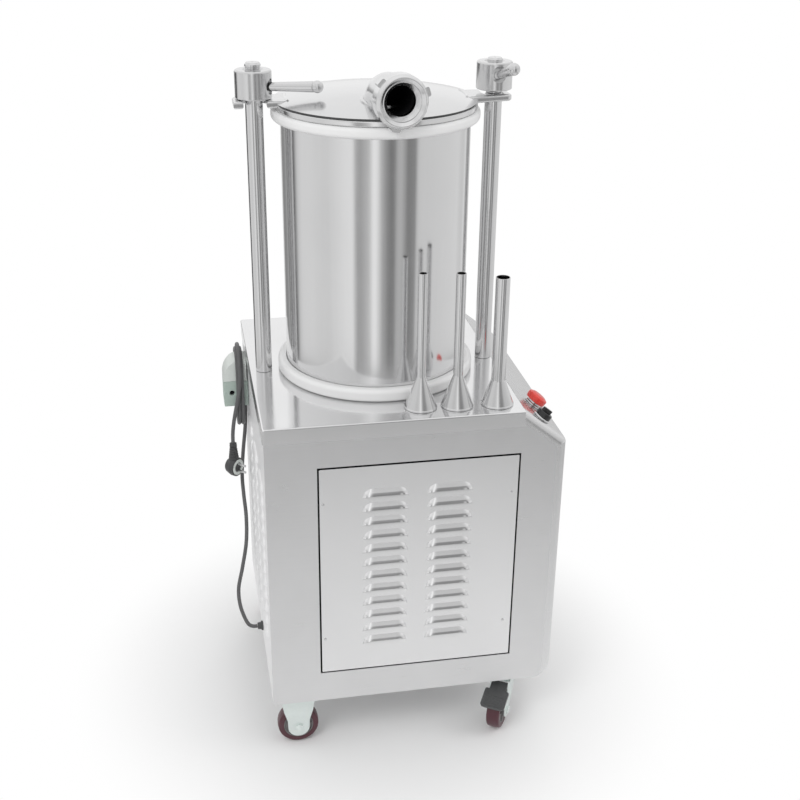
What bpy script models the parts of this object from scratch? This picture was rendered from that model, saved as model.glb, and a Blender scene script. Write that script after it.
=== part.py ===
"""Hydraulic sausage stuffer: a steel cabinet on casters with a filling barrel on top.

Metres, +Z up. Places are measured from the barrel's axis and from the floor, -Y is the side
with the service door and +X the side with the sloping control panel. ROOT then carries the
whole machine to the middle of its own footprint.
"""
import bmesh
import bpy
from math import asin, atan2, cos, hypot, pi, radians, sin, tan
from mathutils import Matrix, Vector

for old in list(bpy.data.objects):
    bpy.data.objects.remove(old, do_unlink=True)

# Clearances and stock
CLEAR = 0.0003
OVERRUN = 0.005
SHEET = 0.0015
PLATE = 0.003
SMOOTH_ANGLE = radians(35)
SMALL_STEPS = 12
END_STEP_SPACING = 1.5

# Cabinet
CABINET_LEFT = -0.2175
CABINET_RIGHT = 0.2812
CABINET_NEAR = -0.237
CABINET_FAR = 0.245
CABINET_BOTTOM = 0.104
TABLE_TOP = 0.636
LIP_DEPTH = 0.027
SLOPE_START_X = 0.2073
SLOPE_DROP = 0.059
FOLD_RADIUS = 0.010
EDGE_RADIUS = 0.014
CORNER_RADIUS = 0.028
RETURN_WIDTH = 0.020
LEAST_FILLET = 0.001
EDGE_STEPS = 4
FOLD_STEPS = 4
SLOPE_ANGLE = atan2(SLOPE_DROP, CABINET_RIGHT - SLOPE_START_X)
SKIN = SHEET + CLEAR
PANEL_LEFT = CABINET_LEFT + SKIN
PANEL_NEAR = CABINET_NEAR + SKIN
PANEL_FAR = CABINET_FAR - SKIN
PANEL_TOP = TABLE_TOP - PLATE - CLEAR
PANEL_INSET = EDGE_RADIUS + 2 * SHEET
BASE_TOP = CABINET_BOTTOM + PLATE

# Service door and its louvres
DOOR_LEFT = -0.1305
DOOR_RIGHT = 0.197
DOOR_DROP = 0.076
DOOR_HEIGHT = 0.391
DOOR_TOP = TABLE_TOP - DOOR_DROP
DOOR_BOTTOM = DOOR_TOP - DOOR_HEIGHT
DOOR_GAP = 0.0035
REBATE_WIDTH = 0.012
REBATE_BITE = 0.0003
REBATE_THICKNESS = 0.0021
LOUVRE_ROWS = 12
LOUVRE_LENGTH = 0.071
LOUVRE_HEIGHT = 0.013
LOUVRE_RISE = 0.005
LOUVRE_DROP = 0.049
LOUVRE_SPREAD = 0.286
LOUVRE_TOP_ROW = DOOR_TOP - LOUVRE_DROP
LOUVRE_BOTTOM_ROW = LOUVRE_TOP_ROW - LOUVRE_SPREAD
LOUVRE_LEFT_COLUMN = -0.058
LOUVRE_RIGHT_COLUMN = 0.054
LOUVRE_END_STEPS = 3

# Barrel, its rings and the lid
BARREL_BORE = 0.150
BARREL_WALL = 0.003
BARREL_HEIGHT = 0.4367
ROUND_STEPS = 40
RING_REACH = 0.0145
BASE_RING_HEIGHT = 0.022
GASKET_SKIRT = 0.0087
GASKET_CAP = 0.009
RING_EDGE = 0.0045
LID_OVERHANG = 0.013
LID_RADIUS = BARREL_BORE + LID_OVERHANG
LID_BAND = 0.0105
LID_GROOVE_DEPTH = 0.0018
LID_GROOVE_HEIGHT = 0.0018
LID_DOME_RISE = 0.0185
LID_SHEET = 0.004
LID_RIM_WIDTH = 0.017
LID_SEAT_HEIGHT = BARREL_HEIGHT + 2 * CLEAR + GASKET_CAP
DOME_STEPS = 5

# Lid lugs, which reach from the lid round the posts
POST_FROM_RIM = 0.0305
POST_SPACING = 2 * (LID_RADIUS + POST_FROM_RIM)
LUG_THICKNESS = 0.011
LUG_RISE = 0.0052
LUG_HEIGHT = LID_SEAT_HEIGHT + LUG_RISE
LUG_HALF_WIDTH = 0.030
LUG_BEYOND_POST = 0.0325
LUG_OUTER = POST_SPACING / 2 + LUG_BEYOND_POST
LUG_BITE = 0.043
LUG_INNER = LID_RADIUS - LUG_BITE
LUG_SLOT_RADIUS = 0.018
LUG_CORNER = 0.008
LUG_STEPS = 10

# Posts, clamp nuts and handles
POST_RADIUS = 0.014
POST_THREAD_RADIUS = 0.0127
POST_STUD_RADIUS = 0.012
POST_ABOVE_LUG = 0.0555
POST_HEIGHT = LUG_HEIGHT + LUG_THICKNESS + POST_ABOVE_LUG
THREAD_BELOW_LUG = 0.0055
POST_THREAD_START = LUG_HEIGHT - THREAD_BELOW_LUG
POST_TIP_CHAMFER = 0.002
POST_COLLAR_RADIUS = 0.0175
POST_COLLAR_HEIGHT = 0.005
POST_NUT_RADIUS = 0.018
POST_NUT_HEIGHT = 0.018
POST_STEPS = 20
NUT_RADIUS = 0.029
NUT_HEIGHT = 0.040
NUT_CHAMFER = 0.003
NUT_STEPS = 28
LEFT_NUT_LIFT = 0.0005
RIGHT_NUT_LIFT = 0.008
HANDLE_RADIUS = 0.0065
HANDLE_REACH = 0.106
HANDLE_SEAT_DEPTH = 0.010
HANDLE_BALL_RADIUS = 0.0095
HANDLE_HEIGHT = 0.018
HANDLE_SPOT_RADIUS = 0.010
HANDLE_SPOT_DEPTH = 0.0015
LEFT_HANDLE_AZIMUTH = radians(-25)
LEFT_HANDLE_TILT = radians(4)
RIGHT_HANDLE_AZIMUTH = radians(-85)
RIGHT_HANDLE_TILT = radians(17.5)

# Outlet elbow and its ring nut
ELBOW_X = -0.003
ELBOW_Y = -0.085
OUTLET_AZIMUTH = radians(-83.8)
OUTLET_RISE = 0.0417
OUTLET_HEIGHT = LID_SEAT_HEIGHT + OUTLET_RISE
OUTLET_RADIUS = 0.031
OUTLET_BORE = 0.0245
ELBOW_FOOT = 0.0057
ELBOW_BEND = OUTLET_RISE - ELBOW_FOOT
ELBOW_STEPS = 20
ELBOW_BEND_STEPS = 8
RING_NUT_RADIUS = 0.040
RING_NUT_LENGTH = 0.0277
RING_NUT_GAP = 0.00235
RING_NUT_BACK = LID_RADIUS + RING_NUT_GAP - hypot(ELBOW_X, ELBOW_Y)
ELBOW_THREAD = 0.0069
ELBOW_END = RING_NUT_BACK + ELBOW_THREAD
RING_NUT_MOUTH = 0.0345
RING_NUT_LIP = 0.0015
RING_NUT_EDGE = 0.004
RING_NUT_ROUNDING = 0.001
RING_LUG_RADIUS = 0.045
RING_LUG_WIDTH = 0.014
RING_LUG_START = 0.0060
RING_LUG_LENGTH = 0.014
RING_LUG_TURN = radians(18)
RING_LUGS = 3

# Piston and hydraulic cylinder
PISTON_GAP = 0.002
PISTON_RADIUS = BARREL_BORE - PISTON_GAP
PISTON_HEIGHT = 0.030
PISTON_LIFT = 0.004
PISTON_PLATE = 0.008
PISTON_SKIRT = 0.008
PISTON_HUB_RADIUS = 0.035
SEAL_HEIGHT = 0.010
SEAL_DEPTH = 0.005
SEAL_DROP = 0.008
ROD_RADIUS = 0.020
ROD_SHOULDER = 0.006
CYLINDER_RADIUS = 0.0365
CYLINDER_BORE = 0.030
CYLINDER_BOTTOM = 0.150
CYLINDER_CAP = 0.015
CYLINDER_FLANGE_RADIUS = 0.055
CYLINDER_FLANGE = 0.014
CYLINDER_HEAD = 0.008
CYLINDER_PISTON = 0.030
CYLINDER_STEPS = 24
PORT_WIDTH = 0.024
PORT_REACH = 0.050
PORT_HEIGHT = 0.185

# Inner frame and power pack
LOAD_PLATE = 0.012
LOAD_PLATE_RIGHT = 0.205
FRAME_INSET = 0.0025
ANGLE_WIDTH = 0.040
ANGLE_THICKNESS = 0.004
TANK_LEFT = -0.200
TANK_RIGHT = -0.085
TANK_HALF_LENGTH = 0.170
TANK_HEIGHT = 0.220
TANK_WALL = 0.003
FILLER_RADIUS = 0.018
FILLER_Y = 0.120
VALVE_HALF_WIDTH = 0.035
VALVE_HALF_LENGTH = 0.040
VALVE_HEIGHT = 0.070
MOTOR_X = 0.140
MOTOR_RADIUS = 0.065
MOTOR_BELL_RADIUS = 0.058
MOTOR_BELL = 0.018
MOTOR_NEAR = -0.170
MOTOR_LENGTH = 0.220
MOTOR_FOOT_HEIGHT = 0.012
MOTOR_FOOT_HALF_WIDTH = 0.055
MOTOR_FOOT_MARGIN = 0.030
PUMP_HALF_WIDTH = 0.040
PUMP_LENGTH = 0.080
HOSE_RADIUS = 0.007
HOSE_VALVE_Y = -0.020
HOSE_SWING_X = -0.062
HOSE_SWING_Y = -0.085
HOSE_POINTS = 24
HOSE_SIDES = 8

# Filling nozzles: place across, tube radius, whole height and cone height of each
NOZZLE_BASE_RADIUS = 0.027
NOZZLE_LIP = 0.002
NOZZLE_WALL = 0.0012
NOZZLE_STEPS = 20
SMALL_NOZZLE_X = 0.043
SMALL_NOZZLE_Y = -0.191
SMALL_NOZZLE_RADIUS = 0.007
SMALL_NOZZLE_HEIGHT = 0.227
SMALL_NOZZLE_CONE = 0.053
MEDIUM_NOZZLE_X = 0.103
MEDIUM_NOZZLE_Y = -0.194
MEDIUM_NOZZLE_RADIUS = 0.008
MEDIUM_NOZZLE_HEIGHT = 0.225
MEDIUM_NOZZLE_CONE = 0.053
LARGE_NOZZLE_X = 0.169
LARGE_NOZZLE_Y = -0.197
LARGE_NOZZLE_RADIUS = 0.0115
LARGE_NOZZLE_HEIGHT = 0.216
LARGE_NOZZLE_CONE = 0.042

# Controls on the slope
CONTROL_X = 0.243
ESTOP_Y = -0.150
ESTOP_COLLAR_RADIUS = 0.0145
ESTOP_COLLAR_HEIGHT = 0.008
ESTOP_STEM_RADIUS = 0.008
ESTOP_TRAVEL = 0.004
ESTOP_HEAD_RADIUS = 0.016
ESTOP_HEAD_HEIGHT = 0.008
ESTOP_HEAD_CROWN = 0.003
KNOB_Y = -0.205
KNOB_COLLAR_RADIUS = 0.015
KNOB_COLLAR_HEIGHT = 0.003
KNOB_RADIUS = 0.0125
KNOB_HEIGHT = 0.008
KNOB_GRIP_HEIGHT = 0.008
KNOB_GRIP_WIDTH = 0.007
KNOB_SOCKET_RADIUS = 0.006
CONTROL_STEPS = 20

# Junction box on the cord side
BOX_OUTER_X = -0.260
BOX_NEAR_Y = 0.113
BOX_WIDTH = 0.050
BOX_DROP = 0.023
BOX_COVER_HEIGHT = 0.039
BOX_HEIGHT = 0.089
BOX_TOP = TABLE_TOP - BOX_DROP
BOX_SPLIT = BOX_TOP - BOX_COVER_HEIGHT
BOX_BOTTOM = BOX_TOP - BOX_HEIGHT
BOX_FILLET = 0.008
BOX_ARCH_WIDTH = 0.016
BOX_ARCH_HEIGHT = 0.024
BOX_STEPS = 5
BOX_HOLE_RADIUS = 0.0045
BOX_HOLE_DEPTH = 0.006
BOX_HOLE_INSET = 0.015
BOX_HOLE_DROP = 0.065
BOX_HOLE_X = BOX_OUTER_X + BOX_HOLE_INSET
BOX_HOLE_Z = BOX_TOP - BOX_HOLE_DROP

# Mains cord
CORD_RADIUS = 0.0035
CORD_SIDES = 2
GLAND_Y = -0.030
GLAND_Z = 0.128
GLAND_RADIUS = 0.010
GLAND_FLANGE = 0.003
GLAND_NECK_RADIUS = 0.0075
GLAND_LENGTH = 0.010
GLAND_STEPS = 16
RUN_POINTS = 38
HANK_ARCHES = 3
HANK_PITCH = 0.0076
HANK_FIRST_X = -0.2198
HANK_CENTRE_BELOW_TOP = 0.022
HANK_STRAND = 0.083
HANK_ARC_POINTS = 9
HANK_STRAND_POINTS = 3
LEAD_X = -0.249
LEAD_END = 0.450
LEAD_POINTS = 8
PLUG_RELIEF_LENGTH = 0.030
PLUG_RELIEF_TOP = 0.0058
PLUG_RELIEF_BOTTOM = 0.009
PLUG_RELIEF_FOOT = 0.0072
PLUG_RADIUS = 0.019
PLUG_THICKNESS = 0.016
PLUG_AZIMUTH = radians(-60)
PIN_RADIUS = 0.0024
PIN_LENGTH = 0.019
PIN_SPACING = 0.019
PIN_STEPS = 8
PLUG_STEPS = 20

# Casters
WHEEL_RADIUS = 0.0365
WHEEL_HALF_WIDTH = 0.012
WHEEL_SHOULDER = 0.003
HUB_RADIUS = 0.012
HUB_HALF_WIDTH = 0.0145
CORE_RADIUS = 0.026
CORE_DEPTH = 0.003
AXLE_RADIUS = 0.005
WHEEL_STEPS = 20
CASTER_PLATE = 0.003
CHEEK_INNER = 0.015
CHEEK_THICKNESS = 0.0025
FIXED_X = -0.171
CASTER_MIDDLE_Y = 0.004
FIXED_SPREAD = 0.204
FIXED_TOP_HALF = 0.030
FIXED_TIP_HALF = 0.0195
FIXED_PLATE_HALF_LENGTH = 0.036
FIXED_PLATE_HALF_WIDTH = 0.030
SWIVEL_X = 0.208
SWIVEL_SPREAD = 0.201
SWIVEL_PLATE_HALF = 0.031
RACE_RADIUS = 0.020
RACE_HEIGHT = 0.007
CROWN_THICKNESS = 0.003
CROWN_BACK = 0.020
CROWN_FRONT = 0.026
SWIVEL_TRAIL = 0.032
SWIVEL_TIP_RADIUS = 0.014
SWIVEL_SHOULDER_REACH = 0.046
SWIVEL_SHOULDER_HEIGHT = 0.052
TIP_STEPS = 8
NEAR_SWIVEL_AZIMUTH = radians(-122)
FAR_SWIVEL_AZIMUTH = radians(160)
PEDAL_START = 0.022
PEDAL_END = 0.074
PEDAL_START_HEIGHT = 0.0845
PEDAL_END_HEIGHT = 0.062
PEDAL_THICKNESS = 0.006
PEDAL_HALF_WIDTH = 0.022
PEDAL_PIN_RADIUS = 0.004
PEDAL_NECK_HALF_WIDTH = 0.0145
PEDAL_NECK_OVERLAP = 0.0035


def finish(name, colour, roughness, metallic):
    """A plain material with the piece's colour, roughness and metallic value."""
    made = bpy.data.materials.new(name)
    made.use_nodes = True
    shader = made.node_tree.nodes["Principled BSDF"]
    shader.inputs["Base Color"].default_value = (*colour, 1)
    shader.inputs["Roughness"].default_value = roughness
    shader.inputs["Metallic"].default_value = metallic
    return made


FINISHES = {
    "steel": finish("brushed steel", (0.60, 0.60, 0.60), 0.32, 1),
    "polished": finish("polished steel", (0.72, 0.72, 0.72), 0.12, 1),
    "white": finish("white seal", (0.85, 0.85, 0.84), 0.45, 0),
    "zinc": finish("zinc plate", (0.62, 0.70, 0.68), 0.40, 1),
    "pale box": finish("pale green box", (0.50, 0.58, 0.55), 0.50, 0),
    "maroon": finish("maroon tread", (0.12, 0.03, 0.04), 0.45, 0),
    "dark": finish("dark grey plastic", (0.05, 0.05, 0.05), 0.50, 0),
    "cord": finish("cord sheath", (0.06, 0.06, 0.06), 0.55, 0),
    "red": finish("red head", (0.60, 0.03, 0.02), 0.35, 0),
    "black": finish("black knob", (0.02, 0.02, 0.02), 0.35, 0),
    "iron": finish("painted iron", (0.10, 0.16, 0.24), 0.50, 0),
    "rubber": finish("hose rubber", (0.03, 0.03, 0.03), 0.60, 0),
}

ROOT = bpy.data.objects.new("machine_origin", None)
bpy.context.collection.objects.link(ROOT)
PIECES = []
ON_THE_CORD = []


def closed_mesh(name, corners, faces):
    """A mesh from corners and faces, with every face turned outwards."""
    work = bmesh.new()
    made = [work.verts.new(corner) for corner in corners]
    for face in faces:
        work.faces.new([made[index] for index in face])
    bmesh.ops.recalc_face_normals(work, faces=work.faces)
    mesh = bpy.data.meshes.new(name)
    work.to_mesh(mesh)
    work.free()
    return mesh


def place(name, mesh, colour, location=(0, 0, 0), turn=None, parent=None):
    """Put a piece of the machine in the scene under its name."""
    piece = bpy.data.objects.new(name, mesh)
    bpy.context.collection.objects.link(piece)
    mesh.materials.clear()
    mesh.materials.append(FINISHES[colour])
    mesh.shade_smooth()
    mesh.set_sharp_from_angle(angle=SMOOTH_ANGLE)
    piece.parent = parent or ROOT
    piece.location = location
    if turn is not None:
        piece.rotation_euler = turn.to_euler()
    PIECES.append(piece)
    return piece


def shape_with(piece, mesh, how="DIFFERENCE", location=(0, 0, 0), turn=None, parent=None):
    """Cut a hidden shape out of a piece, or join or intersect the two."""
    tool = bpy.data.objects.new(f"{piece.name}_{how.lower()}", mesh)
    bpy.context.collection.objects.link(tool)
    tool.parent = parent or ROOT
    tool.location = location
    if turn is not None:
        tool.rotation_euler = turn.to_euler()
    tool.hide_render = True
    tool.display_type = "WIRE"
    change = piece.modifiers.new(how.lower(), "BOOLEAN")
    change.operation = how
    change.solver = "EXACT"
    change.object = tool
    return tool


def arc(centre_a, centre_b, radius, start, end, steps, squash=1.0):
    """Points on an arc from one angle to another, both ends included."""
    points = []
    for step in range(steps + 1):
        angle = start + (end - start) * step / steps
        points.append((centre_a + radius * cos(angle), centre_b + radius * squash * sin(angle)))
    return points


def prism(name, outline, low, high, plane="XY"):
    """Extrude a closed outline, drawn in the named plane, from low to high."""
    order = {"XY": (0, 1, 2), "XZ": (0, 2, 1), "YZ": (2, 0, 1)}[plane]
    corners = []
    for level in (low, high):
        for first, second in outline:
            values = (first, second, level)
            corners.append(tuple(values[index] for index in order))
    count = len(outline)
    faces = [list(range(count)), list(range(count, 2 * count))]
    for index in range(count):
        following = (index + 1) % count
        faces.append([index, following, count + following, count + index])
    return closed_mesh(name, corners, faces)


def block(name, low, high):
    """A box between two corners."""
    outline = [(low[0], low[1]), (high[0], low[1]), (high[0], high[1]), (low[0], high[1])]
    return prism(name, outline, low[2], high[2])


def turned(name, profile, steps):
    """Turn a closed outline of (radius, height) points about Z."""
    corners = []
    rings = []
    for radius, height in profile:
        if radius == 0:
            rings.append([len(corners)])
            corners.append((0, 0, height))
            continue
        rings.append(list(range(len(corners), len(corners) + steps)))
        for step in range(steps):
            angle = 2 * pi * (step + 0.5) / steps
            corners.append((radius * cos(angle), radius * sin(angle), height))
    faces = []
    for index, ring in enumerate(rings):
        other = rings[(index + 1) % len(rings)]
        if len(ring) == 1 and len(other) == 1:
            continue
        for step in range(steps):
            after = (step + 1) % steps
            around = [ring[step % len(ring)], ring[after % len(ring)]]
            around += [other[after % len(other)], other[step % len(other)]]
            faces.append(list(dict.fromkeys(around)))
    return closed_mesh(name, corners, faces)


def rod(name, radius, low, high, steps):
    """A plain cylinder about Z."""
    return turned(name, [(0, low), (radius, low), (radius, high), (0, high)], steps)


def axis_turn(direction):
    """The rotation that takes +Z to a direction, keeping local X level."""
    forward = Vector(direction).normalized()
    side = Vector((0, 0, 1)).cross(forward)
    if side.length == 0:
        return Matrix.Identity(3)
    side.normalize()
    return Matrix((side, forward.cross(side), forward)).transposed()


def swept(name, path, radius, sides):
    """A round bar along a path that lies in one upright plane or bends gently."""
    places = [Vector(point) for point in path]
    tangents = []
    for index in range(len(places)):
        before = places[max(index - 1, 0)]
        after = places[min(index + 1, len(places) - 1)]
        tangents.append((after - before).normalized())
    normal = tangents[0].orthogonal().normalized()
    corners = []
    for place_at, tangent in zip(places, tangents):
        normal = (normal - tangent * normal.dot(tangent)).normalized()
        other = tangent.cross(normal)
        for side in range(sides):
            angle = 2 * pi * side / sides
            corners.append(place_at + radius * (cos(angle) * normal + sin(angle) * other))
    faces = [list(range(sides)), list(range(len(corners) - sides, len(corners)))]
    for index in range(len(places) - 1):
        for side in range(sides):
            after = (side + 1) % sides
            low = index * sides
            high = low + sides
            faces.append([low + side, low + after, high + after, high + side])
    return closed_mesh(name, corners, faces)


def smooth_curve(route, count):
    """Evenly spread points on a smooth curve through the points of a route."""
    knots = [Vector(point) for point in route]
    knots = [2 * knots[0] - knots[1]] + knots + [2 * knots[-1] - knots[-2]]
    fine = []
    pieces_per_span = 24
    for index in range(1, len(knots) - 2):
        before, start, end, after = knots[index - 1:index + 3]
        for step in range(pieces_per_span):
            t = step / pieces_per_span
            point = 2 * start + (end - before) * t
            point += (2 * before - 5 * start + 4 * end - after) * t ** 2
            point += (3 * start - before - 3 * end + after) * t ** 3
            fine.append(point / 2)
    fine.append(knots[-2])
    return evenly_spread(fine, count)


def evenly_spread(fine, count):
    """Points at equal steps along a fine chain of points, both ends included."""
    lengths = [0.0]
    for index in range(1, len(fine)):
        lengths.append(lengths[-1] + (fine[index] - fine[index - 1]).length)
    spread = []
    index = 0
    for step in range(count):
        wanted = lengths[-1] * step / (count - 1)
        while index < len(fine) - 2 and lengths[index + 1] < wanted:
            index += 1
        span = lengths[index + 1] - lengths[index]
        share = (wanted - lengths[index]) / span if span else 0
        spread.append(fine[index].lerp(fine[index + 1], share))
    return spread


def square_ended(route, points):
    """The same chain, with the route's straight first and last steps kept."""
    first = Vector(route[1])
    last = Vector(route[-2])
    start = Vector(route[0])
    end = Vector(route[-1])
    near_start = END_STEP_SPACING * (first - start).length
    near_end = END_STEP_SPACING * (last - end).length
    inner = [point for point in points
             if (point - start).length > near_start and (point - end).length > near_end]
    return [start, first] + inner + [last, end]


def curve_tube(name, points, radius, resolution, colour):
    """A filled round tube, kept as a curve object."""
    data = bpy.data.curves.new(name, "CURVE")
    data.dimensions = "3D"
    data.bevel_depth = radius
    data.bevel_resolution = resolution
    data.use_fill_caps = True
    spline = data.splines.new("POLY")
    spline.points.add(len(points) - 1)
    for target, point in zip(spline.points, points):
        target.co = (*point, 1)
    data.materials.append(FINISHES[colour])
    tube = bpy.data.objects.new(name, data)
    bpy.context.collection.objects.link(tube)
    tube.parent = ROOT
    PIECES.append(tube)
    ON_THE_CORD.append(tube)
    return tube


def control_outline(inset):
    """The slope, the right side and the bottom corner, seen from -Y, moved inwards."""
    slope_shift = inset / cos(SLOPE_ANGLE)
    side_x = CABINET_RIGHT - inset
    slope_z = TABLE_TOP - slope_shift
    fold_z = slope_z - (side_x - SLOPE_START_X) * tan(SLOPE_ANGLE)
    fold = max(FOLD_RADIUS - inset, LEAST_FILLET)
    corner = max(CORNER_RADIUS - inset, LEAST_FILLET)
    turn = pi / 2 - SLOPE_ANGLE
    setback = fold * tan(turn / 2)
    centre_x = side_x - fold
    centre_z = fold_z - setback
    points = [(SLOPE_START_X, slope_z)]
    points += arc(centre_x, centre_z, fold, turn, 0, FOLD_STEPS)
    low_z = CABINET_BOTTOM + inset
    points += arc(side_x - corner, low_z + corner, corner, 0, -pi / 2, FOLD_STEPS)
    points.append((CABINET_RIGHT - CORNER_RADIUS - EDGE_RADIUS, low_z))
    return points


def control_rows(thickness):
    """Insets and depths of the control panel's cross-sections from near to far."""
    radius = EDGE_RADIUS - thickness
    rows = [(EDGE_RADIUS + RETURN_WIDTH, 0)]
    for step in range(EDGE_STEPS + 1):
        angle = pi / 2 * step / EDGE_STEPS
        rows.append((thickness + radius * (1 - sin(angle)), radius * (1 - cos(angle))))
    near = [(inset, CABINET_NEAR + thickness + depth) for inset, depth in rows]
    far = [(inset, CABINET_FAR - thickness - depth) for inset, depth in reversed(rows)]
    return near + far


def make_control_panel():
    """The folded right side: slope, side and rolled edges in one sheet."""
    grids = []
    for thickness in (0, SHEET):
        grid = []
        for inset, y in control_rows(thickness):
            grid.append([(x, y, z) for x, z in control_outline(inset)])
        grids.append(grid)
    rows = len(grids[0])
    columns = len(grids[0][0])
    corners = [point for grid in grids for row in grid for point in row]

    def at(layer, row, column):
        return (layer * rows + row) * columns + column

    faces = []
    for row in range(rows - 1):
        for column in range(columns - 1):
            for layer in (0, 1):
                faces.append([at(layer, row, column), at(layer, row, column + 1),
                              at(layer, row + 1, column + 1), at(layer, row + 1, column)])
    for row in range(rows - 1):
        for column in (0, columns - 1):
            faces.append([at(0, row, column), at(0, row + 1, column),
                          at(1, row + 1, column), at(1, row, column)])
    for column in range(columns - 1):
        for row in (0, rows - 1):
            faces.append([at(0, row, column), at(0, row, column + 1),
                          at(1, row, column + 1), at(1, row, column)])
    place("control_side_panel", closed_mesh("control_side_panel", corners, faces), "steel")


def side_outline():
    """The flat near or far panel, tucked behind the rolled edges of the control side."""
    right = CABINET_RIGHT - PANEL_INSET
    step_x = CABINET_RIGHT - CORNER_RADIUS - EDGE_RADIUS - CLEAR
    corner_x = CABINET_RIGHT - CORNER_RADIUS
    corner_z = CABINET_BOTTOM + CORNER_RADIUS
    step_z = CABINET_BOTTOM + PANEL_INSET
    slope_z = TABLE_TOP - PANEL_INSET / cos(SLOPE_ANGLE)
    fold_z = slope_z - (right - SLOPE_START_X) * tan(SLOPE_ANGLE)
    return [(PANEL_LEFT, CABINET_BOTTOM), (step_x, CABINET_BOTTOM), (step_x, step_z),
            (corner_x, step_z), (right, corner_z), (right, fold_z), (SLOPE_START_X, slope_z),
            (SLOPE_START_X - SKIN, PANEL_TOP), (PANEL_LEFT, PANEL_TOP)]


def louvre_outline():
    """One louvre's outline on the door, flat below and rounded at both ends above."""
    half = LOUVRE_LENGTH / 2
    left = arc(-half + LOUVRE_HEIGHT, 0, LOUVRE_HEIGHT, pi, pi / 2, LOUVRE_END_STEPS)
    right = arc(half - LOUVRE_HEIGHT, 0, LOUVRE_HEIGHT, pi / 2, 0, LOUVRE_END_STEPS)
    return left + right


def louvre_mesh(middle_x, base_z, face_y, back_y):
    """A pressed hood that stands out at its open lower edge and meets the sheet above."""
    outline = louvre_outline()
    corners = []
    for first, second in outline:
        corners.append((middle_x + first, back_y, base_z + second))
    for first, second in outline:
        rise = LOUVRE_RISE * (1 - second / LOUVRE_HEIGHT)
        corners.append((middle_x + first, face_y - rise, base_z + second))
    count = len(outline)
    faces = [list(range(count))]
    front = list(range(count, 2 * count))
    faces.append(front)
    for index in range(count):
        following = (index + 1) % count
        faces.append([index, following, count + following, count + index])
    return corners, faces


def make_service_door():
    """The louvred cover over the opening in the near side."""
    back_y = PANEL_NEAR + SHEET - REBATE_BITE - CLEAR
    face_y = back_y - SHEET
    mesh = block("service_door", (DOOR_LEFT, face_y, DOOR_BOTTOM), (DOOR_RIGHT, back_y, DOOR_TOP))
    door = place("service_door", mesh, "steel")
    corners = []
    faces = []
    pitch = (LOUVRE_TOP_ROW - LOUVRE_BOTTOM_ROW) / (LOUVRE_ROWS - 1)
    for column in (LOUVRE_LEFT_COLUMN, LOUVRE_RIGHT_COLUMN):
        for row in range(LOUVRE_ROWS):
            base_z = LOUVRE_BOTTOM_ROW + row * pitch - LOUVRE_HEIGHT / 2
            some, sides = louvre_mesh(column + LOUVRE_LENGTH / 2, base_z, face_y, face_y + SHEET / 2)
            start = len(corners)
            corners += some
            faces += [[start + index for index in side] for side in sides]
    shape_with(door, closed_mesh("louvres", corners, faces), "UNION")


def make_side_panels():
    """Near panel with its stepped door opening, far panel and the cord side."""
    near = place("near_side_panel",
                 prism("near_side_panel", side_outline(), PANEL_NEAR, PANEL_NEAR + SHEET, "XZ"), "steel")
    gap = DOOR_GAP
    ring_near = PANEL_NEAR + SHEET - REBATE_BITE
    outer = REBATE_WIDTH + gap
    ring = block("rebate", (DOOR_LEFT - outer, ring_near, DOOR_BOTTOM - outer),
                 (DOOR_RIGHT + outer, ring_near + REBATE_THICKNESS, DOOR_TOP + outer))
    shape_with(near, ring, "UNION")
    opening = block("opening", (DOOR_LEFT - gap, PANEL_NEAR - OVERRUN, DOOR_BOTTOM - gap),
                    (DOOR_RIGHT + gap, ring_near, DOOR_TOP + gap))
    shape_with(near, opening)
    inner = REBATE_WIDTH
    through = block("through", (DOOR_LEFT + inner, PANEL_NEAR - OVERRUN, DOOR_BOTTOM + inner),
                    (DOOR_RIGHT - inner, ring_near + OVERRUN, DOOR_TOP - inner))
    shape_with(near, through)
    place("far_side_panel",
          prism("far_side_panel", side_outline(), PANEL_FAR - SHEET, PANEL_FAR, "XZ"), "steel")
    place("cord_side_panel",
          block("cord_side_panel", (PANEL_LEFT, PANEL_NEAR + SKIN, CABINET_BOTTOM),
                (PANEL_LEFT + SHEET, PANEL_FAR - SKIN, PANEL_TOP)), "steel")


def make_base_plate():
    """The floor of the cabinet, which the casters, the frame and the power pack stand on."""
    right = CABINET_RIGHT - CORNER_RADIUS - EDGE_RADIUS - CLEAR
    low = (PANEL_LEFT + SKIN, PANEL_NEAR + SKIN, CABINET_BOTTOM)
    high = (right, PANEL_FAR - SKIN, BASE_TOP)
    place("base_plate", block("base_plate", low, high), "steel")


def make_tabletop():
    """The top sheet with its folded lips on three sides."""
    right = SLOPE_START_X - CLEAR
    mesh = block("tabletop", (CABINET_LEFT, CABINET_NEAR, TABLE_TOP - LIP_DEPTH),
                 (right, CABINET_FAR, TABLE_TOP))
    top = place("tabletop", mesh, "polished")
    hollow = block("hollow", (CABINET_LEFT + SHEET, CABINET_NEAR + SHEET, TABLE_TOP - LIP_DEPTH - OVERRUN),
                   (right + OVERRUN, CABINET_FAR - SHEET, TABLE_TOP - PLATE))
    shape_with(top, hollow)
    low = TABLE_TOP - PLATE - OVERRUN
    high = TABLE_TOP + OVERRUN
    shape_with(top, rod("rod_hole", ROD_RADIUS + CLEAR, low, high, CYLINDER_STEPS))
    for side in (-1, 1):
        hole = rod("post_hole", POST_STUD_RADIUS + CLEAR, low, high, POST_STEPS)
        shape_with(top, hole, location=(side * POST_SPACING / 2, 0, 0))


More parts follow.
